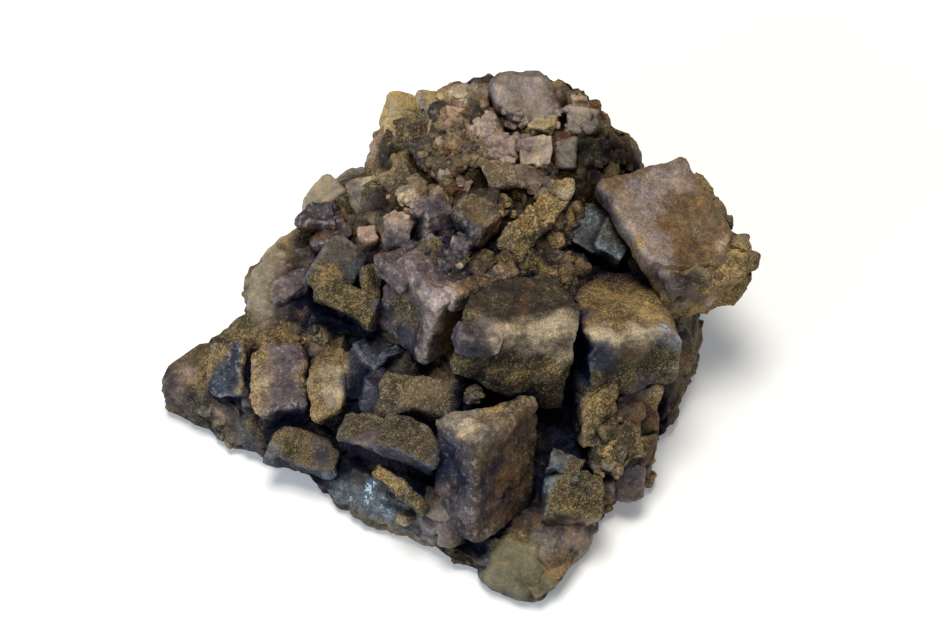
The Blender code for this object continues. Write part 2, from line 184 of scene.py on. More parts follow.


# %% [markdown]
# ## Where the stains are
#
# Each place is where a pigment shows on the real specimen, judged from the photograph.
# Some places are painted light instead: navy and black in the gaps are painted shade, and ice, gold, steel
# and the cream on the front bevels are painted glints and highlights.

# %% Stain places
STAINS = {
    "tip": (
        (-62, -5, 10), (-63, -6, 9), (-60, -8, 7)),
    "pink": (
        (32, 17, 42), (34, 12, 41), (37, 7, 41), (20, -40, 9), (24, -37, 9), (28, -35, 7), (-59, -3, 11),
        (-52, -9, 8), (-21, 15, 35), (-14, 11, 35), (7, -16, 44), (42, 0, 31), (35, 16, 41), (43, 24, 40),
        (48, 4, 28), (-20, 40, 31), (23, 40, 43), (3, 36, 44), (-11, 18, 42), (-15, 14, 41), (21, -39, 7),
        (25, -38, 10)),
    "ochre": (
        (55, 9, 34), (52, 4, 30), (44, 1, 28), (-45, -13, 15), (-44, -10, 17), (5, -20, 36), (10, -19, 33),
        (16, -18, 33), (31, 14, 37), (32, 17, 38), (33, 10, 37), (35, 6, 36), (-43, -9, 17), (-43, -5, 18),
        (-42, -13, 15), (-34, -8, 17), (-51, -2, 16), (-54, -3, 12), (-43, -13, 17), (-43, -13, 7),
        (-42, 1, 16), (-30, -10, 20), (-29, -6, 21), (-30, -14, 11), (-21, -13, 17), (-29, 7, 32),
        (-13, -36, 8), (-28, -2, 21), (-27, -5, 21), (2, -14, 47), (16, -16, 32), (29, 4, 31), (36, 1, 32),
        (26, -1, 34), (37, -16, 22), (33, 9, 41), (53, 5, 35), (55, 6, 37), (45, -4, 16), (-15, 27, 41),
        (18, 23, 43), (14, 17, 41), (10, 13, 41), (4, -23, 31), (25, -19, 25), (33, -22, 17)),
    "khaki": (
        (15, -17, 30), (17, -18, 25), (9, -20, 29), (2, -20, 37), (-53, -1, 16), (-50, 2, 16), (20, -30, 18),
        (24, -33, 16), (26, -35, 15), (19, -36, 16), (-25, 2, 31), (-19, 4, 31), (-21, -1, 30), (-26, 4, 31),
        (-23, 0, 31), (-19, 6, 31)),
    "drab": (
        (-12, -26, 27), (-22, -22, 24), (-10, -28, 27), (-15, -25, 27), (1, 13, 45), (3, 15, 45)),
    "olive": (
        (-51, 0, 16), (-14, 36, 37), (-12, 38, 38), (-13, 33, 38), (-13, 1, 34), (-12, -1, 33),
        (-11, -3, 31), (-12, 0, 31), (-14, -5, 33), (-15, -2, 31), (-13, -7, 30), (-48, 4, 16), (-47, 6, 17),
        (-14, -14, 27), (-14, -4, 31), (-15, -3, 34), (-36, -23, 13), (-14, -28, 11), (-11, -36, 19),
        (16, -3, 40), (5, -7, 44), (3, -20, 40), (14, -19, 26), (38, -12, 31), (34, -14, 29), (32, 15, 42),
        (-13, 38, 38), (12, 9, 39)),
    "moss": (
        (-57, -9, 8), (-54, -9, 7), (-55, -11, 6), (-51, -13, 6), (-25, -32, 8), (10, -47, 6), (23, -32, 16)),
    # Painted shade in the gaps and on shaded sides.
    "navy": (
        (25, -12, 32), (26, -13, 35), (-5, -31, 26), (27, -13, 33), (25, -13, 34), (27, -13, 32),
        (-3, -34, 24), (-2, -36, 22), (-4, -33, 26), (-9, -8, 27), (-9, -6, 26), (-12, -4, 27),
        (-49, -8, 15), (-47, -10, 13), (-50, -6, 14), (-48, -6, 16), (-22, -10, 19), (-23, -14, 17),
        (-5, -27, 25), (-3, -26, 24), (-25, -12, 20), (-18, 0, 30), (-12, -8, 27), (20, 4, 31), (22, -4, 34),
        (26, -14, 34), (0, 10, 45), (-4, -32, 29), (-1, -37, 25)),
    # Cream along the front bevels of the centre and right crystals is a painted highlight.
    "cream": (
        (12, -15, 41), (15, -14, 40), (-42, -12, 16), (-42, -10, 17), (19, -14, 37), (12, -16, 39),
        (11, -16, 41), (15, -16, 38), (7, -16, 42), (-13, -36, 9), (-29, -9, 19), (9, -16, 42),
        (13, -15, 40), (17, -15, 37), (15, -15, 39), (-28, -8, 21), (-30, -11, 16), (6, -16, 44),
        (12, -14, 43), (9, -15, 44), (17, -12, 41), (28, -12, 36), (35, -11, 36), (39, -10, 36),
        (-26, -12, 20), (50, 10, 40), (-28, -14, 20), (10, -15, 43), (14, -14, 42), (33, -10, 37),
        (25, -10, 37), (41, -11, 27), (-17, 45, 38), (-2, 48, 41), (-2, 45, 41), (23, 45, 42), (23, 40, 43),
        (14, 30, 44), (20, 20, 42), (-13, 19, 42), (-19, 30, 33), (-1, -29, 33), (12, -16, 42),
        (16, -15, 40), (9, -15, 44), (19, -13, 39), (14, -17, 40), (11, -17, 41), (17, -16, 39)),
    "rust": (
        (12, -2, 42), (11, -4, 43), (11, -7, 44), (10, -9, 44), (-45, -7, 15), (-35, 5, 19), (11, -6, 42),
        (18, 13, 31), (-15, 35, 36), (-11, 35, 39), (-13, 31, 39), (-4, 25, 43), (-6, 23, 41)),
    # Steel's gloss brings painted glints; on the left flank its blue grey is partly a painted cool
    # reflection.
    "steel": (
        (-48, -6, 14), (-49, -5, 13), (-50, -6, 13), (-48, -9, 13), (-46, -8, 14), (-49, -7, 14),
        (-47, -9, 13), (17, -30, 18), (15, -32, 16), (38, -10, 34), (-30, -27, 7), (-27, -29, 6),
        (-24, -30, 7), (-20, -32, 7), (-16, -33, 7), (-12, -36, 6), (-8, -38, 6), (24, 19, 35), (29, 11, 34)),
    "slate": (
        (18, -27, 18), (16, -29, 16), (-46, -15, 5), (-41, -23, 13), (-24, 8, 30), (-32, -23, 4),
        (-25, -27, 7), (22, 15, 34), (4, -44, 5), (2, -41, 6), (20, -23, 12)),
    "purple": (
        (42, 0, 37), (44, -1, 33), (41, 2, 34), (-2, -35, 21), (0, -40, 17), (-11, -8, 30), (-8, -8, 32),
        (-38, -7, 19), (-37, -11, 19), (-37, -14, 18), (-36, -8, 19), (-31, 24, 31), (-36, 13, 22),
        (-12, -3, 42), (-13, 0, 43), (-10, 3, 43), (-20, -26, 23), (36, 2, 40), (-2, -33, 31), (6, -35, 15)),
    "rose": (
        (8, 46, 45), (14, 44, 44)),
    "frost": (
        (-9, -37, 5), (-9, -36, 6), (36, 17, 42), (33, 16, 41), (38, 25, 42), (33, 13, 41), (35, 19, 42),
        (38, 1, 38), (-8, -10, 31), (-9, -10, 28), (-7, -9, 36), (3, -15, 47), (34, 15, 41), (36, 7, 41),
        (40, 24, 42), (43, 27, 41), (-4, -5, 42), (-12, 1, 43), (-5, -8, 38), (-6, -9, 31), (-7, -8, 43),
        (-9, -9, 34), (-10, -5, 41), (37, 20, 41), (34, 21, 42), (37, 10, 41), (38, 4, 41), (-7, 11, 43),
        (4, -40, 11), (39, -10, 35)),
    "plum": (
        (2, -14, 45), (-8, 14, 42), (38, 3, 36), (31, -27, 11), (34, -25, 12), (-33, 22, 29), (-29, 22, 30),
        (41, 1, 37), (39, 2, 37), (-5, -30, 30), (-4, -33, 28), (-1, -36, 26), (1, -15, 45), (-38, -15, 14),
        (-24, -9, 20), (-11, -7, 35), (-14, -31, 23), (-30, -23, 12), (3, -17, 45), (13, 22, 43),
        (-5, 5, 41), (2, -38, 20), (4, -33, 24)),
    "tan": (
        (-7, -17, 26), (-11, -17, 26), (-9, -28, 26), (-33, -23, 12), (46, 14, 39), (55, 11, 38),
        (51, 17, 38), (-8, 31, 42), (7, 24, 44), (3, 25, 40), (7, 8, 40), (10, -33, 8), (24, -25, 20)),
    "grey": (
        (0, -25, 32), (-5, -27, 32), (4, -31, 33), (-26, 13, 32), (-10, 48, 39), (3, 46, 42), (20, 32, 42),
        (11, 25, 44), (14, -41, 10)),
    "brown": (
        (48, 17, 38), (43, 15, 41), (46, 16, 40), (44, 18, 40), (47, 11, 39), (46, 20, 39), (48, 14, 39),
        (44, 12, 40), (40, 12, 40), (48, 8, 38), (46, 25, 39), (49, 20, 38), (43, 5, 39), (46, 4, 14),
        (45, 0, 14), (43, -4, 15), (45, 8, 18), (41, -8, 14), (-32, 21, 28), (-35, 22, 23), (-4, -7, 29),
        (-5, -7, 37), (33, -12, 33), (44, 17, 40), (42, 9, 40), (47, 5, 11), (-5, 32, 40), (16, 15, 35),
        (15, 9, 33), (1, 13, 45), (-8, 20, 42), (10, -26, 15), (18, -45, 8), (35, -18, 21), (36, -25, 13),
        (40, -10, 9)),
    "mauve": (
        (6, 41, 42), (10, 39, 41), (28, -33, 9), (31, -30, 9), (24, -37, 10), (17, -40, 9), (22, -38, 9),
        (26, -34, 8), (30, -32, 6), (-5, -38, 9), (-8, -36, 8), (-38, 9, 22), (-8, -37, 5), (-5, -36, 17),
        (35, -15, 25), (17, 42, 43), (11, 31, 44), (7, 30, 44), (29, -30, 2), (35, -27, 11), (31, -27, 5)),
    "glass": (
        (13, -50, 1), (15, -51, 2), (12, -48, 8), (9, -44, 9), (6, -43, 9), (13, -43, 9), (14, -49, 7),
        (8, -46, 6), (15, -49, 4), (10, -46, 9), (5, -42, 9)),
    "rind": (
        (-44, 14, 21), (-42, 17, 23), (-44, 11, 19), (-40, 20, 24), (-45, 13, 20), (-43, 15, 22),
        (-40, 24, 24), (-32, 32, 29), (-29, 35, 31), (-36, 28, 27), (-45, 15, 22), (-42, 21, 21),
        (-43, 9, 18), (20, 46, 39), (14, 37, 44), (21, 38, 39)),
    "yellow": (
        (29, 4, 33), (33, 1, 33), (54, 9, 36), (53, 6, 33), (45, 2, 28), (-30, -7, 20), (36, -4, 35),
        (-13, 43, 41), (-15, 45, 40), (38, -5, 35), (-14, 47, 38), (-16, 48, 38), (-5, 48, 40),
        (-18, 27, 40), (27, -23, 10)),
    # Black in the gaps round the hooked and stained crystals is painted shade.
    "black": (
        (27, 33, 39), (31, 36, 38), (29, 31, 37), (24, 30, 38), (33, 36, 35), (-35, 19, 23), (-30, 8, 19),
        (-34, 3, 18), (-26, 2, 20), (-19, -2, 22), (-16, -5, 22), (23, 13, 28), (19, 18, 31), (27, 20, 41),
        (15, -29, 11), (17, -38, 11), (18, -17, 14), (19, -12, 15)),
    # Painted glints and a cool reflection: on the right crystal's edge, the left flank and the pocket
    # crystals.
    "ice": (
        (40, -9, 36), (41, -8, 35), (41, -10, 33), (-21, -30, 8), (-17, -31, 8), (-13, -33, 8),
        (-24, -29, 7), (-11, -35, 7), (-19, -32, 9), (-15, -33, 9), (-13, -32, 10), (-16, -34, 7),
        (-22, -30, 9), (-11, -35, 9), (21, 19, 30), (-20, -30, 9)),
    "umber": (
        (34, -23, 6), (32, -24, 8), (12, -1, 43), (12, 1, 42), (0, -2, 41), (3, 1, 40), (-1, 1, 41),
        (32, 34, 38), (28, 36, 40), (29, -17, 18), (36, -21, 14), (24, 34, 39), (22, 34, 39), (30, 38, 38),
        (25, 32, 36), (12, -4, 43), (9, -7, 44), (-14, 36, 36), (-12, 29, 40), (-4, 28, 43), (-3, -41, 12),
        (18, -5, 41), (14, -6, 42), (18, -14, 38), (17, -18, 25), (44, 0, 39), (-13, 25, 41), (26, 35, 40),
        (31, 37, 38), (28, 31, 39), (0, 30, 44), (13, -23, 15), (34, -17, 22)),
    "teal": (
        (-49, -7, 14), (-47, -9, 12), (30, 14, 40), (32, 11, 40)),
    # A painted glint on a summit crystal.
    "gold": (
        (-17, 38, 38),),
    "orange": (
        (15, 48, 43), (-3, 41, 41), (7, -33, 19), (39, -13, 8)),
}
STAIN_REACH = 2.2
STAIN_SHIFT, STAIN_UNREST, STAIN_FALL = 1.1, 1.3, 1.6
SMALL_STAINS = {"ice": 1.4, "gold": 0.9, "teal": 1.2, "rust": 1.2}
STAIN_LIST = [(np.array(place), PALETTE[name], SMALL_STAINS.get(name, STAIN_REACH))
              for name, places in STAINS.items() for place in places]
print("stains:", len(STAIN_LIST))


def stained(points, base, hold=0.1):
    """The finish at each point: its base, weighted by hold, mixed with the stains.

    A stain weighs exp(noise - fall * distance^2 / reach^2), measured from a point that noise has moved.
    """
    moved = points + STAIN_SHIFT * noise_vectors(points, 4.0, (1, 2, 3))
    unrest = [STAIN_UNREST * rough_noise(points, 2.2, 2, seed) for seed in (5, 6, 7, 8)]
    total = np.zeros((len(points), 1)) + hold
    mix = base * total
    for k, (place, colour, reach) in enumerate(STAIN_LIST):
        near = ((moved - place) ** 2).sum(1) / reach**2
        weight = np.exp(unrest[k % len(unrest)] - STAIN_FALL * near)[:, None]
        total = total + weight
        mix = mix + weight * colour
    return mix / total


# %% [markdown]
# ## Node materials
#
# All finishes share one recipe. The painted colour is mottled by three sizes of noise, ochre grains are laid
# over it where the crust attribute is high, pale flecks where it is low, and the same noises drive roughness
# and bump, so that colour and relief agree. A small class lets node outputs be added and multiplied like
# numbers, and the recipe is a function, so that each finish differs only in a few plain numbers.

# %% Node helpers
def set_inputs(node, inputs):
    """Sets a node's inputs, by name or number, to plain values, or links them to wires."""
    for key, value in inputs.items():
        if isinstance(value, Wire):
            node.id_data.links.new(value.socket, node.inputs[key])
        else:
            node.inputs[key].default_value = value


def wire(tree, kind, inputs, output=0, **settings):
    """A new node with its settings and inputs: the wire from one of its outputs."""
    node = tree.nodes.new(kind)
    for name, value in settings.items():
        setattr(node, name, value)
    set_inputs(node, inputs)
    return Wire(node.outputs[output])


class Wire:
    """A node's output. Wires and numbers are added, subtracted and multiplied with Math nodes."""

    def __init__(self, socket):
        self.socket = socket

    def also(self, name):
        """Another output of the same node."""
        return Wire(self.socket.node.outputs[name])

    def math(self, operation, one, other):
        return wire(self.socket.id_data, "ShaderNodeMath", {0: one, 1: other}, operation=operation)

    def __add__(self, other):
        return self.math("ADD", self, other)

    def __sub__(self, other):
        return self.math("SUBTRACT", self, other)

    def __rsub__(self, other):
        return self.math("SUBTRACT", other, self)

    def __mul__(self, other):
        return self.math("MULTIPLY", self, other)

    def eased(self, low, high, low_out=0.0, high_out=1.0):
        """The value brought from low..high to low_out..high_out, with eased ends."""
        limits = {"From Min": low, "From Max": high, "To Min": low_out, "To Max": high_out}
        return wire(self.socket.id_data, "ShaderNodeMapRange", {"Value": self, **limits},
                    interpolation_type="SMOOTHSTEP")


def mixed(tree, share, one, other, blend="MIX"):
    """Two colours mixed by a share."""
    return wire(tree, "ShaderNodeMix", {0: share, 6: one, 7: other}, 2, data_type="RGBA", blend_type=blend)


def noise_wire(place, scale, detail, roughness):
    """A noise texture's value, from 0 to 1, with so many patches to the metre."""
    inputs = {"Vector": place, "Scale": scale, "Detail": detail, "Roughness": roughness}
    return wire(place.socket.id_data, "ShaderNodeTexNoise", inputs, "Fac")


# %% Mineral finish
COOL, WARM = (0.92, 0.95, 1.08, 1.0), (1.08, 1.01, 0.88, 1.0)
# Colours of the pale grains, the painted glints and the pale flecks.
PALE_GRAIN, GLINT, FLECK = (0.42, 0.35, 0.25, 1.0), (0.75, 0.90, 1.0, 1.0), (0.36, 0.32, 0.31, 1.0)


def mineral_finish(name, grain, mottle, flecks, relief):
    """Painted colour, mottled at three sizes, with grains, glints and flecks, and bump to match them."""
    material = bpy.data.materials.new(name)
    material.use_nodes = True
    tree = material.node_tree
    place = wire(tree, "ShaderNodeTexCoord", {}, "Object")
    paint = wire(tree, "ShaderNodeAttribute", {}, "Color", attribute_name="paint")
    shine = paint.also("Alpha")
    finish = wire(tree, "ShaderNodeAttribute", {}, "Color", attribute_name="finish")
    glow = finish.also("Alpha")
    crust = wire(tree, "ShaderNodeSeparateColor", {"Color": finish}, "Red")
    gloss, edge = crust.also("Green"), crust.also("Blue")
    broad = noise_wire(place, 210.0, 5.0, 0.62)
    patchy = noise_wire(place, 760.0, 4.0, 0.7)
    frosting = noise_wire(place, 1250.0, 3.0, 0.65)
    fine = noise_wire(place, 2300.0, 2.0, 0.6)
    cells = wire(tree, "ShaderNodeTexVoronoi", {"Vector": place, "Scale": grain}, "Distance")
    height = cells.eased(0.15, 0.75, 1.0, 0.0)
    tone = wire(tree, "ShaderNodeSeparateColor", {"Color": cells.also("Color")}, "Red")
    solid = 1.0 - glow

    light = broad.eased(0.3, 0.7, 1.0 - mottle, 1.0 + mottle * 0.5)
    light = light + patchy.eased(0.3, 0.7, -0.7 * mottle, 0.7 * mottle)
    # Edges are up to 0.42 lighter: pale wear, and a painted highlight along them.
    light = (light * fine.eased(0.3, 0.7, 0.6, 1.45) - 1.0) * solid + 1.0 + edge * 0.42
    hue = mixed(tree, patchy.eased(0.4, 0.62), COOL, WARM)
    tinted = mixed(tree, 1.0, mixed(tree, 1.0, paint, light, "MULTIPLY"), hue, "MULTIPLY")

    cover = (crust + patchy * 1.2).eased(0.85, 1.45)
    # Each grain is lighter in its middle and darker at its border: painted light and shade of a round grain.
    sand = tone.eased(0.1, 0.9, 0.6, 1.12) * height.eased(0.0, 0.8, 0.78, 1.2)
    pale = tone.eased(0.5, 0.95, 0.0, 0.62) * height * shine
    grainy = mixed(tree, pale, mixed(tree, 1.0, tinted, sand, "MULTIPLY"), PALE_GRAIN)
    # Painted glints: pale blue on the brightest grains where the gloss is high, none in the cracks.
    glint = tone.eased(0.7, 0.78, 0.0, 0.8) * gloss.eased(0.6, 0.85) * shine
    crusted = mixed(tree, glint, mixed(tree, cover, tinted, grainy), GLINT)
    frost = (patchy * 0.45 + frosting * 0.6 + edge * 0.10).eased(0.575, 0.66, 0.0, flecks) * solid * shine

    bumps = patchy * 0.8 + fine * 0.35 + height * cover.eased(0.0, 0.8, 0.1, 1.0)
    bump = {"Strength": relief, "Distance": 0.5 * MM, "Height": bumps}
    set_inputs(tree.nodes["Principled BSDF"], {
        "Base Color": mixed(tree, frost, crusted, FLECK),
        "Roughness": fine.eased(0.2, 0.8, 0.62, 0.92) - gloss * 0.42 + cover * 0.2,
        "Normal": wire(tree, "ShaderNodeBump", bump),
        "Specular IOR Level": shine * 0.45,
        "Subsurface Weight": glow,
        "Subsurface Radius": (1.0, 0.78, 0.55),
        "Subsurface Scale": 2.5 * MM,
    })
    return material


# Finish: a slot name, not used here, the material's name, grains to the metre, mottle, flecks, relief.
FINISHES = {
    "rock": ("brown_rock", "brown_rock", 2200.0, 0.55, 0.25, 0.7),
    "purple": ("purple_crystal", "purple_fluorite", 2500.0, 0.6, 0.5, 0.5),
    "brown": ("brown_crystal", "brown_fluorite", 2500.0, 0.34, 0.2, 0.4),
    "ochre": ("ochre_crystal", "ochre_crust", 2500.0, 0.5, 0.22, 0.8),
    "grey": ("grey_crystal", "grey_fluorite", 2500.0, 0.4, 0.28, 0.45),
    "summit": ("brown_rock", "summit_crystals", 2300.0, 0.35, 0.3, 0.5),
}
MATERIALS = {finish: mineral_finish(*values) for finish, (_, *values) in FINISHES.items()}
print("materials:", len(MATERIALS))

# %% [markdown]
# ## A cube crystal
#
# A fluorite crystal is a cube, but a grown and weathered one: its edges are rounded, its faces are slightly
# dished, some corners never grew, and the surface carries steps and grains. A bevelled primitive would stay
# too clean. Here two parameters run over each of a box's six sides. The points near an edge are pulled onto
# a round of some radius, each side is dished by a product of two parabolas, cut planes push back what lies
# past them, and noise moves every point along its own normal.

# %% Box grid
def box_grid(size, spacing):
    """Points from -1 to 1 over the six sides of a box, with shared edges merged, and their faces."""
    counts = np.maximum(np.ceil(np.array(size) / spacing).astype(int), 3)
    points, faces, start = [], [], 0
    for axis in range(3):
        first, second = (axis + 1) % 3, (axis + 2) % 3
        steps = [np.linspace(-1, 1, counts[way] + 1) for way in (first, second)]
        u, v = np.meshgrid(*steps, indexing="ij")
        index = np.arange(u.size).reshape(u.shape)
        quads = np.stack([index[:-1, :-1], index[1:, :-1], index[1:, 1:], index[:-1, 1:]], -1).reshape(-1, 4)
        for side in (-1, 1):
            sheet = np.empty((u.size, 3))
            sheet[:, axis], sheet[:, first], sheet[:, second] = side, u.ravel(), v.ravel()
            points.append(sheet)
            faces.append((quads if side > 0 else quads[:, ::-1]) + start)
            start += u.size
    merged, index = np.unique(np.round(np.concatenate(points), 6), axis=0, return_inverse=True)
    return merged, index.reshape(-1)[np.concatenate(faces)]


# %% Cut planes
def turn_matrix(turn):
    """Turn about X, Y and Z in degrees as a 3 by 3 array."""
    return np.array(Euler([math.radians(angle) for angle in turn]).to_matrix())


def pushed_back(points, normal, out, past):
    """Points past a plane brought back to it: moved by (past + root(past^2 + 0.06)) / 2 against out."""
    points = points - (0.5 * (past + np.sqrt(past**2 + 0.06)))[:, None] * out
    share = np.clip(past / 0.5 + 0.3, 0.0, 1.0)[:, None]
    return points, normal * (1.0 - share) + out * share


def broken_corners(size, count, depth, random):
    """Random cut planes: directions towards corners and edges, and distances a little inside them."""
    out = random.choice([-1.0, 1.0], (count, 3)) * random.uniform(0.35, 1.0, (count, 3))
    out[np.arange(count), random.integers(0, 3, count)] *= random.choice([0.1, 1.0], count)
    out /= np.linalg.norm(out, axis=1, keepdims=True)
    return out, (np.abs(out) * size).sum(1) / 2.0 - depth * random.uniform(0.7, 1.6, count)


# %% Crystal surface
Surface = namedtuple("Surface", "points faces paint edge")
# Unevenness of a crystal in mm: broad and fine waves, steps, small facets, and bites out of its edges.
BROAD_WAVE, FINE_WAVE, STEP, FACET, BITE = 0.34, 0.16, 0.22, 0.22, 1.1


def dish_sides(local, half, dish):
    """Each side sunk by its dish * (1 - u^2) * (1 - v^2), where u and v run over it from -1 to 1."""
    part = np.clip(local / half, -1.0, 1.0)
    bowl = 1.0 - part**2
    depths = np.broadcast_to(dish, 6)
    for axis, (first, second) in enumerate(((1, 2), (2, 0), (0, 1))):
        along = part[:, axis]
        depth = np.where(along > 0, depths[2 * axis + 1], depths[2 * axis])
        local[:, axis] -= depth * np.sign(along) * np.abs(along) ** 3 * bowl[:, first] * bowl[:, second]


def crystal_surface(block, sides="", seed=0, spacing=0.45, rounding=1.4, dish=0.3, rough=1.0,
                    chips=3, chip=1.5, cuts=(), limit=0.3):
    """A rounded, dished and chipped box in mm, with noise along its normals, and its plain paint and edges.

    A block is a centre, a size and a turn, and may have its own pigments for its sides and its own roughness.
    """
    centre, size, turn, *own = block
    sides = own[0] if own else sides
    rough = own[1] if len(own) > 1 else rough
    random = np.random.default_rng(1000 + seed)
    unit, faces = box_grid(size, spacing)
    half = np.array(size) / 2.0
    rounding = min(rounding, limit * min(size))
    chip = min(chip, 0.2 * min(size))
    shell = unit * half
    inner = np.clip(shell, rounding - half, half - rounding)
    away = shell - inner
    normal = away / np.linalg.norm(away, axis=1, keepdims=True)
    local = inner + rounding * normal
    dish_sides(local, half, dish)
    room = np.sort(half - np.abs(local), axis=1)
    edge = np.exp(-np.clip(room[:, 1], 0.0, None) / 0.9)
    for out, reach in zip(*broken_corners(np.array(size), chips, 0.75 * rounding + chip, random)):
        local, normal = pushed_back(local, normal, out, local @ out - reach)
    matrix = turn_matrix(turn)
    points = local @ matrix.T + centre
    normal = normal @ matrix.T
    for spot, out in cuts:
        points, normal = pushed_back(points, normal, np.array(out), (points - spot) @ out)
    normal = normal / np.maximum(np.linalg.norm(normal, axis=1, keepdims=True), 1e-6)

    wave = BROAD_WAVE * rough_noise(points, 7.0, 2, seed) + FINE_WAVE * rough_noise(points, 2.4, 2, seed + 4)
    step = STEP * np.clip(6.0 * smooth_noise(points, 5.0, seed + 7), -1.0, 1.0)
    plane, _, _ = facets(points, 2.6, seed)
    bitten = np.clip(rough_noise(points, 2.4, 2, seed + 9) - 0.1, 0.0, None) * edge
    points = points + normal * (rough * (wave + step + FACET * plane - BITE * bitten))[:, None]

    facing = normal @ matrix
    weight = np.clip(np.stack([-facing, facing], axis=2).reshape(-1, 6), 0.0, None) ** 4
    names = sides.split()
    kinds = np.array([PALETTE[name] for name in (names if len(names) == 6 else names * 6)])
    return Surface(points, faces, (weight @ kinds) / np.maximum(weight.sum(1, keepdims=True), 1e-6), edge)


# %% [markdown]
# ## Keeping the surfaces
#
# The pieces are painted and made only when all surfaces are known, because the dirt in a crack depends on
# what stands round it. Until then each one waits in a list with its finish and the plain solid that it
# stands for.

# %% Waiting list
waiting = []


def keep_surfaces(name, node, finish, surfaces):
    """Several closed surfaces as one, with the face numbers shifted."""
    points, paint, edge = (np.concatenate([surface[k] for surface in surfaces]) for k in (0, 2, 3))
    starts = np.cumsum([0] + [len(surface.points) for surface in surfaces])
    faces = np.concatenate([surface.faces + start for surface, start in zip(surfaces, starts)])
    waiting.append((name, node, finish, Surface(points, faces, paint, edge)))
    print(name, len(points), "points")


def points_of(*names):
    """The points of all waiting surfaces of those names."""
    return np.concatenate([surface.points for name, _, _, surface in waiting if name in names])
